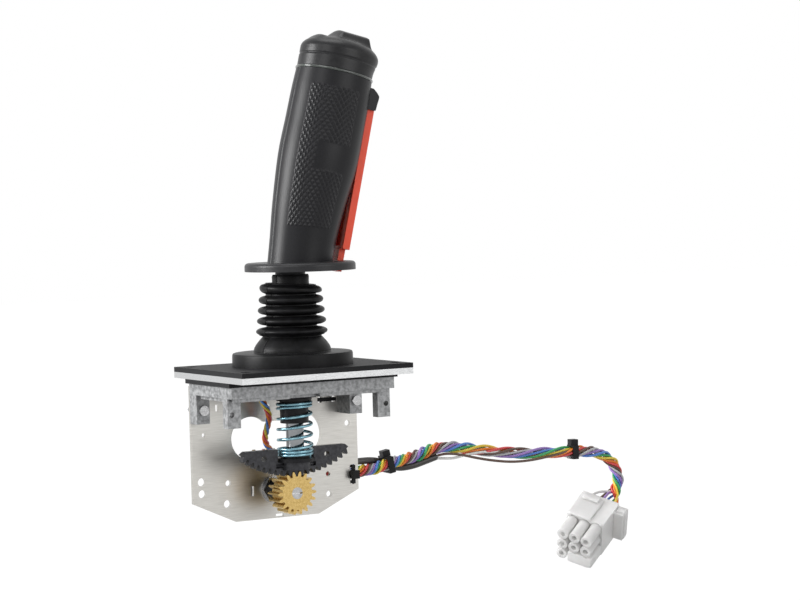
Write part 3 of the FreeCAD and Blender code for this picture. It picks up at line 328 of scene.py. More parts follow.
# Lever rod with its centring spring: a polished steel rod, a moulded sleeve and seat, and a
# zinc-plated compression spring with closed coils at both ends and four open ones between them.
spring_seat_level = -43.7
spring_height = 30.7
spring_radius = 9.0
wire_radius = 0.8
closed_below = 2.6
open_turns = 4.0
closed_above = 1.6
closed_pitch = 2.03 * wire_radius


def surface(name, points, loop_rows=False, close_ends=False, close_top=False, edge_angle=40.0):
    """A smooth mesh through a grid of points in mm.

    Rows run along the piece, and columns go round it. Faces look outwards where the columns turn
    anticlockwise, seen from the last row.
    """
    rows, columns = points.shape[:2]
    index = np.arange(rows * columns).reshape(rows, columns)
    here = index if loop_rows else index[:-1]
    above = np.roll(index, -1, 0) if loop_rows else index[1:]
    quads = np.stack([here, np.roll(here, -1, 1), np.roll(above, -1, 1), above], -1)
    faces = quads.reshape(-1, 4).tolist()
    if close_ends:
        faces.append(index[0][::-1].tolist())
    if close_ends or close_top:
        faces.append(index[-1].tolist())
    mesh = bpy.data.meshes.new(name)
    mesh.from_pydata((points.reshape(-1, 3) * 0.001).tolist(), [], faces)
    mesh.update()
    mesh.polygons.foreach_set("use_smooth", np.ones(len(mesh.polygons), bool))
    mesh.set_sharp_from_angle(angle=math.radians(edge_angle))
    piece = bpy.data.objects.new(name, mesh)
    bpy.context.scene.collection.objects.link(piece)
    return piece


def crosswise(line):
    """Two unit directions across a line, by cross products.

    The first is square to the line and to a direction near Y, and the second to the line and the
    first.
    """
    near_y = (0.0, 1.0, 0.02)
    ahead = np.gradient(line, axis=0)
    ahead /= np.linalg.norm(ahead, axis=1, keepdims=True)
    side = np.cross(ahead, near_y)
    side /= np.linalg.norm(side, axis=1, keepdims=True)
    return side, np.cross(ahead, side)


def tube(line, radius, sides):
    """A round tube about a line: each point carries a circle across the line's direction."""
    side, up = crosswise(line)
    angle = np.linspace(0, 2 * np.pi, sides, endpoint=False)
    across = side[:, None] * np.cos(angle)[:, None] + up[:, None] * np.sin(angle)[:, None]
    return line[:, None] + across * radius


# The wire's centre climbs slowly in the closed coils, where each lies on the one before.
spring_turns = closed_below + open_turns + closed_above
turns_up = np.linspace(0, spring_turns, 700)
full_climb = spring_height - 2 * wire_radius
spring_climb = np.interp(
    turns_up,
    (0, closed_below, closed_below + open_turns, spring_turns),
    (0, closed_below * closed_pitch, full_climb - closed_above * closed_pitch, full_climb),
)
spring_angle = turns_up * 2 * np.pi
spring_line = np.stack(
    [
        spring_radius * np.cos(spring_angle),
        spring_radius * np.sin(spring_angle),
        spring_seat_level + wire_radius + spring_climb,
    ],
    -1,
)
centring_spring = surface("centring_spring", tube(spring_line, wire_radius, 12), close_ends=True)
blue_zinc = finish(
    "blue_zinc",
    colour=(0.145, 0.29, 0.36),
    drift=(0.26, 0.44, 0.50),
    gloss=(0.20, 0.34),
    grain=3.0,
    bump=0.04,
    metal=0.85,
)
centring_spring.data.materials.append(blue_zinc)
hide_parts("return_spring")
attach(centring_spring, "lever")
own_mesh(centring_spring)
polished_steel = finish(
    "polished_steel",
    colour=(0.19, 0.20, 0.21),
    drift=(0.28, 0.29, 0.30),
    gloss=(0.08, 0.16),
    grain=4.0,
    bump=0.02,
    metal=1.0,
)
dress(polished_steel, "lever_rod", "trigger_pin", "rocker_pin")
dress(moulded_black, "centring_sleeve", "spring_seat")

# Bellows boot: moulded black rubber, with a thick foot, a skirt, five rolls and a collar.
# The foot is clamped on the pad and the collar grips the hub.
boot_rolls = 5
boot_pitch = 5.58
boot_first_roll = 23.9
roll_share = 0.82
roll_bluntness = 2.2
roll_fullness = 0.55
groove_radius = 13.4
low_crest_radius = 19.0
high_crest_radius = 16.6
groove_wall = 1.4
crest_wall = 1.6
skirt_groove_rise = 2.3
skirt_groove_share = 0.3
parting_turn = math.radians(13)
parting_foot = 13.0
parting_rise = 0.42
parting_half_turn = 0.018
sag_slope = 0.055
sag_turn = math.radians(-31)
sag_heights = (43, 46, 49.2, 51)


def smooth_step(low, high, amount):
    """0 below low, 1 above high, and between them three squares of the share less two cubes."""
    share = np.clip((amount - low) / (high - low), 0, 1)
    return share * share * (3 - 2 * share)


def plateau(low, low_full, high_full, high, amount):
    """1 from low_full to high_full, 0 below low and above high, and smooth between."""
    return smooth_step(low, low_full, amount) * (1 - smooth_step(high_full, high, amount))


def roll_radius(height, groove, low_crest, high_crest):
    """Radius of the rolls, which bulge from the groove over the same share of each pitch.

    A bulge is one less a power of the distance from its crest, and a power of that. The crests go
    evenly from the low one to the high one, and the groove under the first is wider.
    """
    place = (height - boot_first_roll) / boot_pitch
    nearest = np.clip(np.round(place), 0, boot_rolls - 1)
    crest = low_crest + (high_crest - low_crest) * nearest / (boot_rolls - 1)
    from_crest = np.clip(np.abs(place - nearest) * 2 / roll_share, 0, 1)
    own_groove = np.where(place < -skirt_groove_share, groove + skirt_groove_rise, groove)
    bulge = (1 - from_crest**roll_bluntness) ** roll_fullness
    return own_groove + (crest - own_groove) * bulge


rolls_low = boot_first_roll - boot_pitch / 2
rolls_high = boot_first_roll + boot_pitch * (boot_rolls - 0.5)
roll_heights = np.linspace(rolls_low, rolls_high, 101)
outer_rolls = roll_radius(roll_heights, groove_radius, low_crest_radius, high_crest_radius)
inner_rolls = roll_radius(
    roll_heights,
    groove_radius - groove_wall,
    low_crest_radius - crest_wall,
    high_crest_radius - crest_wall,
)
# The profile's points are radius and height. They go up the outside by foot, skirt, rolls and
# collar, and down the inside.
boot_outside = [(32.2, 5.8), (32.2, 6.4), (32.1, 11.5), (31.9, 12.2), (31.7, 12.6), (31.2, 12.75)]
boot_outside += [(25.0, 12.8), (20.9, 12.85), (20.6, 13.2), (20.6, 14.0), (20.2, 15.4)]
boot_outside += [(19.4, 16.8), (18.1, 18.5), (16.6, 20.2)]
boot_outside += list(zip(outer_rolls, roll_heights))
boot_outside += [(9.9, 49.3), (9.8, 50.4), (9.9, 52.8), (9.5, 53.9)]
boot_inside = [(8.35, 53.9), (8.35, 49.4)]
boot_inside += list(zip(inner_rolls, roll_heights))[::-2]
boot_inside += [(14.0, 20.2), (18.3, 12.8), (18.3, 5.8)]
boot_line = np.array(boot_outside + boot_inside)
boot_radius, boot_height = boot_line[:, :1], boot_line[:, 1:]
# The mould parts on a plane near that of the swing, and leaves a fine ridge on the outside there.
# The profiles stand closer together at the ridge.
half_degrees = np.concatenate([(0, 0.7, 1.4, 2.2), np.arange(4, 177, 2.5), (177.8, 178.6, 179.3)])
boot_turn = np.radians(np.concatenate([half_degrees, half_degrees + 180])) + parting_turn
outside = np.arange(len(boot_line))[:, None] < len(boot_outside)
above_foot = outside & (boot_height > parting_foot)
from_parting = np.sin(boot_turn - parting_turn) / parting_half_turn
ridged_radius = boot_radius + parting_rise * np.exp(-(from_parting**2)) * above_foot
# The top roll sags a little towards the front right, where the hub presses it.
boot_sag = sag_slope * plateau(*sag_heights, boot_height)
boot_points = np.stack(
    [
        ridged_radius * np.cos(boot_turn),
        ridged_radius * np.sin(boot_turn),
        boot_height - boot_sag * boot_radius * np.cos(boot_turn - sag_turn),
    ],
    -1,
)
boot = surface("boot_bellows", boot_points, loop_rows=True)
boot_rubber = finish(
    "boot_rubber",
    colour=(0.003, 0.003, 0.003),
    drift=(0.008, 0.008, 0.009),
    gloss=(0.34, 0.50),
    grain=3.5,
    bump=0.12,
    Specular_IOR_Level=0.12,
)
boot.data.materials.append(boot_rubber)
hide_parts("bellows_boot")
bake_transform(boot)

# Hand rest: a moulded plastic disc that the hand sits on, over the hub that fills the boot's collar.
# The grip's core stands on it and carries the two shells.
rest_plastic = finish(
    "rest_plastic",
    colour=(0.006, 0.006, 0.007),
    drift=(0.015, 0.015, 0.017),
    gloss=(0.34, 0.48),
    grain=0.8,
    bump=0.08,
    Specular_IOR_Level=0.32,
)
dress(rest_plastic, "hand_rest")
dress(moulded_black, "boot_hub", "grip_core")

# Grip: two moulded half shells, screwed together on the plane of the swing, with a nub for the
# trigger's hinge. Diamond knurling covers each side, in an upper and a lower panel with a bare patch
# between. Stations hold height, centre, half width in X, half width in Y, and lean in degrees.
grip_stations = np.array(
    [
        (60.3, 6.1, 17.8, 15.9, 0.0),
        (72.0, 8.3, 18.2, 16.3, 5.0),
        (90.0, 12.2, 19.8, 17.7, 10.0),
        (114.0, 18.5, 21.9, 19.6, 13.0),
        (134.0, 23.7, 21.8, 19.5, 13.4),
        (149.0, 27.5, 21.6, 19.3, 13.4),
        (159.1, 30.0, 21.1, 18.9, 13.4),
    ]
)
diamonds_round = 24
diamond_tall = 3.7
diamond_rise = 0.46
panel_degrees = (70, 72, 145, 147)
panel_heights = (78.0, 79.0, 150.5, 151.5)
patch_heights = (107.0, 108.0, 121.5, 122.5)
patch_end_degrees = (119, 121)
seam_depth = 0.32
seam_half_wide = 0.45
channel_top = -3.0
channel_half_wide = 7.4
channel_floor = -2.5
inner_channel_half_wide = 9.6
inner_channel_floor = -4.6
shell_thick = 2.4
shell_edge_angle = 32
hinge_x = 49.6
hinge_z = 146.0
grip_lean = math.radians(13.4)
pulled_lean = math.radians(17.4)


def grip_section(along):
    """A Catmull-Rom curve through the stations, at places along told in stations from the lowest."""
    below = 2 * grip_stations[0] - grip_stations[1]
    above = 2 * grip_stations[-1] - grip_stations[-2]
    padded = np.vstack([below, grip_stations, above])
    start = np.clip(along.astype(int), 0, len(grip_stations) - 2)
    share = (along - start)[:, None]
    before, low, high, after = (padded[start + shift] for shift in range(4))
    slope_low, slope_high = (high - before) / 2, (after - low) / 2
    return (
        (2 * share**3 - 3 * share**2 + 1) * low
        + (share**3 - 2 * share**2 + share) * slope_low
        + (3 * share**2 - 2 * share**3) * high
        + (share**3 - share**2) * slope_high
    )


def grip_surface(turn_low, turn_high, columns, rows, inset=0.0):
    """Ellipses that lean and move along the grip, at even heights, each drawn in by the inset.

    Without an inset they carry the knurling, and a fine groove where the shells meet.
    """
    dense = np.linspace(0, len(grip_stations) - 1, 1200)
    heights = np.linspace(grip_stations[0, 0], grip_stations[-1, 0], rows)
    sections = grip_section(np.interp(heights, grip_section(dense)[:, 0], dense))
    height, centre, half_x, half_y, lean = (sections[:, i : i + 1] for i in range(5))
    lean = np.radians(lean)
    turn = np.linspace(turn_low, turn_high, columns)
    out_x, out_y = np.cos(turn), np.sin(turn)
    girth = (half_x + half_y) / 2
    level = height + 0 * turn
    seam = seam_depth * np.exp(-((out_y * girth / seam_half_wide) ** 2))
    reach = -inset if inset else knurling(np.abs(turn), level) - seam
    local_x = (half_x + reach) * out_x
    local_y = (half_y + reach) * out_y
    x = centre + local_x * np.cos(lean)
    z = height - local_x * np.sin(lean)
    return np.stack([x, local_y, z], -1)


def knurling(turn, level):
    """Rise of the diamonds: pyramids between two crossed sets of grooves, inside the panels."""
    across = turn / np.pi * diamonds_round
    upward = (level - grip_stations[0, 0]) / diamond_tall
    first = 1 - np.abs(2 * ((across + upward) % 1) - 1)
    second = 1 - np.abs(2 * ((across - upward) % 1) - 1)
    degrees = np.degrees(turn)
    panel = plateau(*panel_degrees, degrees) * plateau(*panel_heights, level)
    patch = plateau(*patch_heights, level) * (1 - smooth_step(*patch_end_degrees, degrees))
    return diamond_rise * panel * (1 - patch) * np.minimum(first, second)


def leaning(points, origin_x, origin_z, lean):
    """Turn points about Y from a leaning frame into the joystick's own."""
    x, y, z = points[..., 0], points[..., 1], points[..., 2]
    turned_x = origin_x + x * math.cos(lean) + z * math.sin(lean)
    turned_z = origin_z - x * math.sin(lean) + z * math.cos(lean)
    return np.stack([turned_x, y, turned_z], -1)


def sink_channel(points, half_wide, floor):
    """Press the front of the grip back to the floor of the trigger's channel.

    The channel's frame leans as the pulled trigger does, so that the trigger lies along the floor.
    """
    x, y, z = points[..., 0], points[..., 1], points[..., 2]
    across = (x - hinge_x) * math.cos(pulled_lean) - (z - hinge_z) * math.sin(pulled_lean)
    along = (x - hinge_x) * math.sin(pulled_lean) + (z - hinge_z) * math.cos(pulled_lean)
    inside = (np.abs(y) < half_wide) & (along < channel_top) & (across > floor)
    across = np.where(inside, floor, across)
    return leaning(np.stack([across, y, along], -1), hinge_x, hinge_z, pulled_lean)


def walled(name, outer, inner):
    """A shell between a fine outer grid and a coarse inner one, closed round their four edges.

    One face closes each edge: it follows the outer grid's edge and comes back by the inner one's.
    """
    grids, faces, first = [], [], 0
    for grid, flip in ((outer, 1), (inner, -1)):
        rows, columns = grid.shape[:2]
        index = np.arange(rows * columns).reshape(rows, columns) + first
        quads = np.stack([index[:-1, :-1], index[:-1, 1:], index[1:, 1:], index[1:, :-1]], -1)
        faces += quads.reshape(-1, 4)[:, ::flip].tolist()
        grids.append(index)
        first += rows * columns
    out, back = grids
    faces.append(out[0][::-1].tolist() + back[0].tolist())
    faces.append(out[-1].tolist() + back[-1][::-1].tolist())
    faces.append(out[:, 0].tolist() + back[::-1, 0].tolist())
    faces.append(out[::-1, -1].tolist() + back[:, -1].tolist())
    points = np.concatenate([outer.reshape(-1, 3), inner.reshape(-1, 3)]) * 0.001
    mesh = bpy.data.meshes.new(name)
    mesh.from_pydata(points.tolist(), [], faces)
    mesh.update()
    mesh.polygons.foreach_set("use_smooth", np.ones(len(mesh.polygons), bool))
    mesh.set_sharp_from_angle(angle=math.radians(shell_edge_angle))
    shell = bpy.data.objects.new(name, mesh)
    bpy.context.scene.collection.objects.link(shell)
    return shell


grip_plastic = finish(
    "grip_plastic",
    colour=(0.005, 0.005, 0.006),
    drift=(0.012, 0.012, 0.014),
    gloss=(0.32, 0.44),
    grain=0.5,
    bump=0.10,
    Specular_IOR_Level=0.20,
)
for shell_name, turn_low, turn_high, cad_shell in (
    ("grip_shell_left", -math.pi, 0.0, "grip_left"),
    ("grip_shell_right", 0.0, math.pi, "grip_right"),
):
    outer_grid = grip_surface(turn_low, turn_high, 12 * diamonds_round + 1, 321)
    inner_grid = grip_surface(turn_low, turn_high, 41, 33, inset=shell_thick)
    shell = walled(
        shell_name,
        sink_channel(outer_grid, channel_half_wide, channel_floor),
        sink_channel(inner_grid, inner_channel_half_wide, inner_channel_floor),
    )
    shell.data.materials.append(grip_plastic)
    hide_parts(cad_shell)
    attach(shell, "lever")
dress(turned_steel, "grip_screws")


def swept_outline(outline, low, high, edge):
    """A solid across Y: the outline in X and Z, whole at both ends, with its sides hollowed between.

    The sides go in by the edge along a quarter circle from each end.
    """
    outline = np.array(outline, float)[::-1]
    middle = outline.mean(0)
    outward = outline - middle
    size = np.linalg.norm(outward, axis=1, keepdims=True)
    bend = np.linspace(0, math.pi / 2, 6)
    drawn_in = edge * (1 - np.sin(bend))
    from_end = edge * (1 - np.cos(bend))
    inset = np.concatenate([drawn_in[::-1], drawn_in])[:, None, None]
    places = np.concatenate([low + from_end, high - from_end[::-1]])[:, None, None]
    rings = middle + outward * (1 - inset / size)
    return np.concatenate([rings[..., :1], places + 0 * rings[..., :1], rings[..., 1:]], -1)


# The nub has a cheek on each side of the trigger's hinge and a roof over it, drawn in X and Z from
# the hinge.
cheek_outline = [(-12.6, -5.9), (1.6, -5.9), (1.95, -5.5), (2.3, -2.0), (2.7, 1.0)]
cheek_outline += [(2.6, 2.2), (1.2, 3.7), (-1.5, 5.6), (-12.6, 5.6)]
roof_outline = [(-12, 2.2), (2.2, 2.2), (2.5, 2.4), (1.1, 3.7), (-1.5, 5.5), (-12, 5.6)]
for nub_name, nub_outline, nub_low, nub_high, nub_edge in (
    ("hinge_nub_left", cheek_outline, -8.9, -7.5, 0.6),
    ("hinge_nub_right", cheek_outline, 7.5, 8.9, 0.6),
    ("hinge_nub_roof", roof_outline, -8.4, 8.4, 0.3),
):
    nub_points = swept_outline(nub_outline, nub_low, nub_high, nub_edge)
    nub_points = leaning(nub_points, hinge_x, hinge_z, grip_lean)
    nub = surface(nub_name, nub_points, close_ends=True)
    nub.data.materials.append(grip_plastic)
    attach(nub, "lever")

# Trigger: a long channel of glossy red plastic, hinged on a steel pin in the nub. Its striker presses
# the switch behind it, and a small helical spring across the channel pushes it out.
trigger_red = finish(
    "trigger_red",
    colour=(0.90, 0.092, 0.045),
    drift=(0.95, 0.108, 0.054),
    gloss=(0.24, 0.34),
    grain=6.0,
    bump=0.02,
    Specular_IOR_Level=0.22,
)
dress(trigger_red, "trigger")
dress(moulded_black, "trigger_striker", "trigger_switch")
# The spring's turns lie closer together at both ends.
trigger_coil_foot = np.array((34.58, 0.0, 106.40))
trigger_coil_turns = 6
trigger_coil_start = 0.65
trigger_coil_length = 4.7
trigger_coil_radius = 1.9
trigger_coil_wire_radius = 0.3
coil_turn = np.linspace(0, trigger_coil_turns, 260)
coil_line = np.stack(
    [
        trigger_coil_start + trigger_coil_length * smooth_step(0, trigger_coil_turns, coil_turn),
        trigger_coil_radius * np.sin(2 * np.pi * coil_turn),
        trigger_coil_radius * np.cos(2 * np.pi * coil_turn),
    ],
    -1,
)
coil_tube = tube(coil_line, trigger_coil_wire_radius, 8)
coil_points = leaning(coil_tube, trigger_coil_foot[0], trigger_coil_foot[2], grip_lean)
trigger_coil = surface("trigger_return_coil", coil_points, close_ends=True)
trigger_coil.data.materials.append(polished_steel)
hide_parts("trigger_spring")
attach(trigger_coil, "lever")
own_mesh(trigger_coil)

# Thumb cap: soft black rubber over the rocker, with a raised ridge and a thumb stop,
# held by a narrow bead round the top of the grip.
dress(moulded_black, "rocker_carrier", "thumb_rocker", "rocker_wiper", "rocker_switch")
top_x = 30.0
top_z = 159.1
cap_half_x = 20.9
cap_half_y = 18.6
skirt_foot = 1.5
skirt_top = 12.0
dome_rise = 8.0
skirt_share = 0.35
crease_depth = 0.35
crease_level = 8.4
crease_half_wide = 0.5
dome_fullness = 0.72
dome_flatness = 0.95
pole_share = 0.995
dome_forward = 0.6
front_bulge = 1.9
bulge_level = 11.5
bulge_half_tall = 4.8
ridge_top = 24.6
ridge_crown = 0.035
ridge_length = (-7.4, -2.0, 13.6, 15.6)
ridge_sides = (6.4, 10.6)
stop_top = 19.8
stop_crown = 0.03
stop_length = (-17.4, -12.6, -9.4, -6.8)
stop_sides = (5.2, 8.4)
rise_levels = (11, 14)
cap_thick = 1.4


def cap_surface(rows, columns):
    """A straight skirt with a crease, then a dome whose radius is a power of the bend's cosine.

    The front bulges, and the ridge and the thumb stop rise from the dome by smooth masks. The last
    row is a small ring that a face closes.
    """
    up = np.linspace(0, 1, rows)[:, None]
    turn = np.linspace(0, 2 * np.pi, columns, endpoint=False)
    bend = np.clip((up - skirt_share) / (1 - skirt_share), 0, 1) * (math.pi / 2) * pole_share
    share = np.cos(bend) ** dome_fullness
    skirt_level = skirt_foot + (skirt_top - skirt_foot) * up / skirt_share
    dome_level = skirt_top + dome_rise * np.sin(bend) ** dome_flatness
    level = np.where(up < skirt_share, skirt_level, dome_level)
    crease = crease_depth * np.exp(-(((level - crease_level) / crease_half_wide) ** 2))
    bulge = front_bulge * np.exp(-(((level - bulge_level) / bulge_half_tall) ** 2))
    bulge = bulge * smooth_step(0.1, 0.9, np.cos(turn))
    forward = dome_forward * smooth_step(12, 20, level)
    x = (cap_half_x * share - crease) * np.cos(turn) + forward + bulge
    y = (cap_half_y * share - crease) * np.sin(turn)
    level = level + 0 * turn
    ridge = plateau(*ridge_length, x) * (1 - smooth_step(*ridge_sides, np.abs(y)))
    stop = plateau(*stop_length, x) * (1 - smooth_step(*stop_sides, np.abs(y)))
    ridge_lift = np.maximum(ridge_top - ridge_crown * y * y - level, 0)
    level = level + ridge_lift * ridge * smooth_step(*rise_levels, level)
    stop_lift = np.maximum(stop_top - stop_crown * y * y - level, 0)
    level = level + stop_lift * stop * smooth_step(*rise_levels, level)
    return np.stack([x, y + 0 * level, level], -1)


cap_points = leaning(cap_surface(130, 180), top_x, top_z, grip_lean)
cap = surface("thumb_cap_rubber", cap_points, close_top=True, edge_angle=70)
cap_rubber = finish(
    "cap_rubber",
    colour=(0.005, 0.005, 0.006),
    drift=(0.012, 0.012, 0.013),
    gloss=(0.30, 0.42),
    grain=2.5,
    bump=0.06,
    Specular_IOR_Level=0.26,
)
cap.data.materials.append(cap_rubber)
cap_wall = cap.modifiers.new("wall", "SOLIDIFY")
cap_wall.thickness = cap_thick / 1000
cap_wall.offset = -1
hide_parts("thumb_cap")
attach(cap, "lever")

# The bead's section is an ellipse, carried round the ellipse of the grip's top.
bead_half_x = 20.8
bead_half_y = 18.6
bead_half_wide = 0.9
bead_half_tall = 0.74
bead_level = 0.75
bead_turn = np.linspace(0, 2 * np.pi, 160, endpoint=False)
bead_section = np.linspace(0, 2 * np.pi, 12, endpoint=False)[:, None]
bead_out = np.cos(bead_section) * bead_half_wide
bead_points = np.stack(
    [
        (bead_half_x + bead_out) * np.cos(bead_turn),
        (bead_half_y + bead_out) * np.sin(bead_turn),
        bead_level + bead_half_tall * np.sin(bead_section) + 0 * bead_turn,
    ],
    -1,
)
bead = surface("cap_bead_ring", leaning(bead_points, top_x, top_z, grip_lean), loop_rows=True)
bead_gloss = finish(
    "bead_gloss",
    colour=(0.020, 0.026, 0.022),
    drift=(0.034, 0.042, 0.036),
    gloss=(0.10, 0.18),
    grain=5.0,
    bump=0.02,
    Coat_Weight=0.6,
)
bead.data.materials.append(bead_gloss)
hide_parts("cap_bead")
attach(bead, "lever")

# Wiring: copper leads with coloured insulation. Five twisted ones come from the casting through the
# plate's window, and nine go on to the plug as a loose twisted bundle with two nylon ties.
lead_colours = {
    "red": (0.70, 0.065, 0.070),
    "orange": (0.85, 0.220, 0.020),
    "yellow": (0.85, 0.640, 0.060),
    "green": (0.040, 0.380, 0.120),
    "blue": (0.090, 0.240, 0.680),
    "violet": (0.340, 0.200, 0.560),
    "grey": (0.500, 0.500, 0.520),
    "brown": (0.100, 0.050, 0.032),
    "white": (0.780, 0.780, 0.760),
}
darker = 0.85
insulation = {
    colour: finish(
        f"insulation_{colour}",
        colour=shade,
        drift=tuple(darker * part for part in shade),
        gloss=(0.30, 0.42),
        grain=3.0,
        bump=0.03,
    )
    for colour, shade in lead_colours.items()
}
lead_radius = 0.74


def route_line(name, points):
    """Points in mm along the smooth curve that has the route's points as its control points."""
    curve = bpy.data.curves.new(name, "CURVE")
    curve.dimensions = "3D"
    curve.resolution_u = 16
    spline = curve.splines.new("NURBS")
    spline.points.add(len(points) - 1)
    for spline_point, place in zip(spline.points, points):
        spline_point.co = (*[0.001 * part for part in place], 1)
    spline.order_u = 3
    spline.use_endpoint_u = True
    holder = bpy.data.objects.new(name, curve)
    bpy.context.scene.collection.objects.link(holder)
    drawn = bpy.data.meshes.new_from_object(holder)
    found = np.zeros(len(drawn.vertices) * 3)
    drawn.vertices.foreach_get("co", found)
    bpy.data.objects.remove(holder)
    return found.reshape(-1, 3) * 1000


def lead_centres(line, ring_radius, turns, count, loose=0.0):
    """Leads wound round a line by turns told at even steps, the last one straight in the middle.

    Where they are loose, each swells away from the line in its own slow wave.
    """
    side, up = crosswise(line)
    number = np.arange(count)[:, None, None]
    share = np.linspace(0, 1, len(line))[:, None]
    wound = np.interp(share, np.linspace(0, 1, len(turns)), turns)
    angle = -2 * np.pi * (number / (count - 1) + wound)
    waves = 2.3 + 0.35 * number
    head_start = 0.37 * number
    swell = 0.5 + 0.5 * np.sin(2 * np.pi * (share * waves + head_start))
    away = np.where(number == count - 1, 0.0, ring_radius * (1 + loose * swell))
    return line + away * (side * np.cos(angle) + up * np.sin(angle))


def lead_group(name, centres, colours):
    """One mesh of round leads about their centrelines, each with the insulation of its colour."""
    tubes = np.stack([tube(centre, lead_radius, 8) for centre in centres])
    count, rows, sides = tubes.shape[:3]
    index = np.arange(count * rows * sides).reshape(count, rows, sides)
    onward = np.roll(index, -1, 2)
    quads = np.stack([index[:, :-1], onward[:, :-1], onward[:, 1:], index[:, 1:]], -1)
    quads = quads.reshape(count, -1, 4)
    faces, owners = [], []
    for number in range(count):
        ends = [index[number, 0][::-1].tolist(), index[number, -1].tolist()]
        own = quads[number].tolist() + ends
        faces += own
        owners += [number] * len(own)
    mesh = bpy.data.meshes.new(name)
    mesh.from_pydata((tubes.reshape(-1, 3) * 0.001).tolist(), [], faces)
    mesh.update()
    mesh.polygons.foreach_set("use_smooth", np.ones(len(faces), bool))
    mesh.set_sharp_from_angle(angle=math.radians(60))
    for colour in colours:
        mesh.materials.append(insulation[colour])
    mesh.polygons.foreach_set("material_index", np.array(owners))
    leads = bpy.data.objects.new(name, mesh)
    bpy.context.scene.collection.objects.link(leads)
    return leads


lever_route = [
    (-12, 17, -11),
    (-9.0, 17, -15.5),
    (-6.3, 17.4, -20.0),
    (-5.6, 18.2, -24.6),
    (-6.6, 20.0, -30.0),
    (-6.4, 22.6, -35.0),
    (-3.0, 26.2, -39.6),
    (2.5, 30.2, -43.6),
    (8.0, 33.8, -45.6),
    (13.4, 36.165, -51.771),
    (20.5, 36.3, -53.8),
]
lever_line = route_line("lever_route", lever_route)
lever_ring_radius = 1.0
lever_turns = (0, 3.4)
lever_centres = lead_centres(lever_line, lever_ring_radius, lever_turns, 5)
lever_colours = ("red", "yellow", "blue", "orange", "white")
lever_leads = lead_group("lever_lead_bundle", lever_centres, lever_colours)
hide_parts("lever_leads")
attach(lever_leads, "root")

harness_route = [
    (20.5, 36.3, -53.8),
    (31, 36.5, -56.8),
    (43, 35.5, -58.3),
    (59.4, 33.8, -58.4),
    (67.2, 32.8, -57.9),
    (76.3, 32.0, -55.5),
    (84.8, 31.5, -54.3),
    (94.4, 31.0, -52.4),
    (104.2, 30.6, -49.2),
    (114.7, 30.2, -48.6),
    (127.9, 30.0, -51.0),
    (146.2, 30.0, -54.2),
    (164.7, 30.0, -56.7),
    (184.3, 30.0, -57.6),
    (200.3, 30.0, -58.3),
    (209.3, 28.0, -58.2),
    (222.3, 32.4, -61.1),
    (230.5, 32.1, -66.9),
    (234.0, 31.5, -74.4),
    (232.8, 31.8, -82.7),
    (227.329, 32.603, -89.176),
    (217.8, 28.3, -94.9),
]
harness_line = route_line("harness_route", harness_route)
# The plug's own directions are towards its rear, its side and its top, from the bundle's end. Its
# contacts lie in three rows of three.
plug_rear = np.array((0.799434, 0.360958, 0.480223))
plug_side = np.array((-0.5358, 0.7897, 0.2985))
plug_up = np.cross(plug_rear, plug_side)
plug_place = np.array(harness_route[-1])
contact_pitch = 7.5
contact_places = np.array(
    [contact_pitch * (plug_side * y + plug_up * z) for y in (-1, 0, 1) for z in (-1, 0, 1)]
)
# The turns are told at even steps along the bundle: it is wound tightly at first, then loosely.
harness_ring_radius = 1.8
wound_turns = (0, 1.3, 2.6, 3.9, 5.0, 5.7, 6.3, 6.9, 7.5, 8.2, 9.0)
harness_centres = lead_centres(harness_line, harness_ring_radius, wound_turns, 9, loose=0.62)
# Close to the plug the leads part, and each goes to its own contact.
part_share = 0.93
parting = int(part_share * len(harness_line))
to_plug = smooth_step(part_share, 1.0, np.linspace(0, 1, len(harness_line)))[None, :, None]
at_contacts = harness_line + contact_places[:, None]
harness_centres = harness_centres * (1 - to_plug) + at_contacts * to_plug
nine_colours = ("red", "orange", "yellow", "green", "blue", "violet", "grey", "brown", "white")
harness = lead_group("harness_leads", harness_centres[:, : parting + 1], nine_colours)
plug_leads = lead_group("plug_leads", harness_centres[:, parting:], nine_colours)
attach(plug_leads, "root")
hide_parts("harness_bundle")
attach(harness, "root")

# Sheathed lead: a black sleeve from above the bundle's first stretch, behind it and along its
# underside. Two thin leads come out of its end and sag below the bundle.
sheath_route = [
    (56.6, 34.2, -53.1),
    (63.2, 33.3, -52.7),
    (72.2, 36.6, -54.1),
    (78.6, 36.6, -56.8),
    (83.5, 34.0, -58.9),
    (90.9, 31.2, -58.1),
    (99.0, 31.0, -56.1),
    (107.0, 31.0, -54.0),
]
sheath_radius = 1.9
sheath_tube = tube(route_line("sheath_route", sheath_route), sheath_radius, 20)
sheath = surface("sheath_sleeve", sheath_tube, close_ends=True)
brown_route = [
    (102.0, 31.0, -55.0),
    (107.0, 30.4, -53.4),
    (111.5, 28.4, -52.4),
    (117.0, 27.0, -52.8),
    (123.5, 26.6, -54.2),
    (131.0, 26.6, -56.2),
    (142.0, 26.6, -58.6),
    (156.0, 26.6, -60.6),
    (170.0, 26.6, -60.5),
    (183.0, 27.0, -59.1),
    (198.5, 27.6, -57.0),
]
white_route = [
    (102.0, 31.0, -55.9),
    (105.7, 30.6, -54.9),
    (109.0, 29.2, -54.9),
    (112.4, 28.0, -55.2),
    (116.0, 27.4, -55.3),
    (119.9, 27.2, -54.8),
    (124.5, 27.0, -54.0),
    (131.0, 27.0, -53.3),
    (139.0, 27.2, -53.4),
    (147.0, 27.8, -54.0),
    (154.0, 29.2, -55.0),
]
brown_line = route_line("brown_route", brown_route)
white_line = route_line("white_route", white_route)
sagging_leads = lead_group("sagging_leads", np.stack([brown_line, white_line]), ("brown", "white"))
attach(sagging_leads, "root")
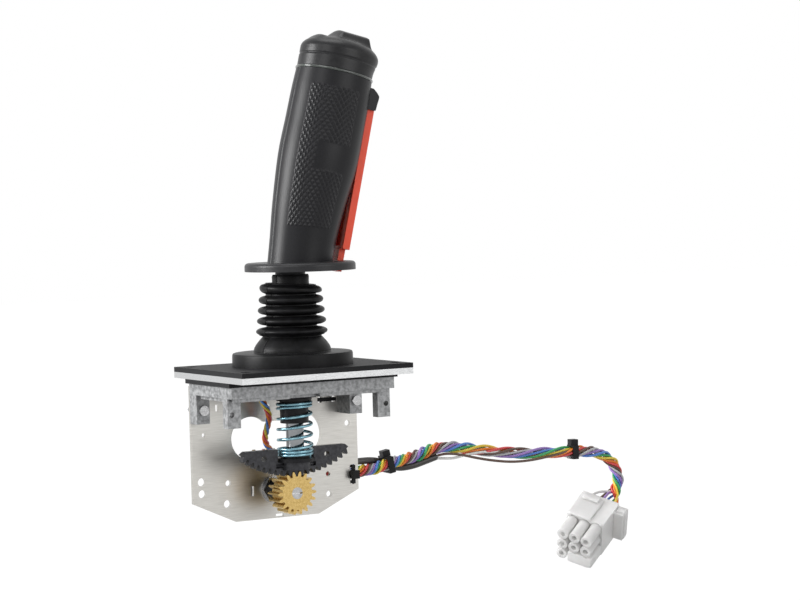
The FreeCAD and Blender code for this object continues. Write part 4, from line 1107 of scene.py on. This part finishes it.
sheath_plastic = finish(
    "shrunk_sleeve",
    colour=(0.014, 0.012, 0.011),
    drift=(0.030, 0.024, 0.021),
    gloss=(0.32, 0.46),
    grain=2.0,
    bump=0.08,
)
sheath.data.materials.append(sheath_plastic)
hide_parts("sheathed_lead")
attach(sheath, "root")

# Plug: a translucent nylon block with nine round silos, one for each contact. A latch plate with a
# heel lies on top, a clip on one side, and a squared key round two of the lower silos lets the plug
# go in one way only.
plug_nylon = finish(
    "natural_nylon",
    colour=(0.90, 0.89, 0.875),
    drift=(0.95, 0.94, 0.925),
    gloss=(0.34, 0.46),
    grain=4.0,
    bump=0.04,
    Subsurface_Weight=0.85,
    Subsurface_Radius=(1.0, 1.0, 1.0),
    Subsurface_Scale=0.006,
    Transmission_Weight=0.12,
)
dress(plug_nylon, "connector_housing", "connector_silos")


def plug_block(name, low, high, corner):
    """A block in the plug's frame: a rectangle with quarter circles for corners, carried along.

    Towards both ends it is drawn in along a quarter circle.
    """
    low, high = np.array(low, float), np.array(high, float)
    middle, half = (low + high) / 2, (high - low) / 2
    turn = np.linspace(0, 2 * np.pi, 48, endpoint=False) + np.pi / 48
    arc_y = np.sign(np.cos(turn)) * (half[1] - corner) + corner * np.cos(turn)
    arc_z = np.sign(np.sin(turn)) * (half[2] - corner) + corner * np.sin(turn)
    bend = np.linspace(0, np.pi / 2, 5)
    end_corner = 0.6 * corner
    drawn_in = end_corner * (1 - np.sin(bend))
    from_end = end_corner * (1 - np.cos(bend))
    inset = np.concatenate([drawn_in, drawn_in[::-1]])[:, None]
    along = np.concatenate([-half[0] + from_end, half[0] - from_end[::-1]])[:, None]
    y = middle[1] + arc_y * (1 - inset / half[1])
    z = middle[2] + arc_z * (1 - inset / half[2])
    x = middle[0] + along + 0 * y
    points = x[..., None] * plug_rear + y[..., None] * plug_side + z[..., None] * plug_up
    block = surface(name, plug_place + points, close_ends=True)
    block.data.materials.append(plug_nylon)
    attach(block, "root")
    return block


# Corners are told towards the rear, the side and the top.
plug_trim = [
    plug_block("plug_latch_plate", (-22.6, -3.6, 11.4), (-3.0, 11.2, 13.0), 0.7),
    plug_block("plug_latch_heel", (-8.0, -1.6, 12.8), (-4.0, 9.2, 14.6), 0.7),
    plug_block("plug_side_clip", (-19.0, 11.4, -4.0), (-7.2, 13.4, 8.0), 0.9),
    plug_block("plug_key", (-36.2, -11.5, -11.5), (-21.8, 3.6, -4.2), 1.0),
    plug_block("plug_flange_lip", (-5.6, -18.2, -10.2), (-1.2, -11.4, 10.2), 1.6),
]
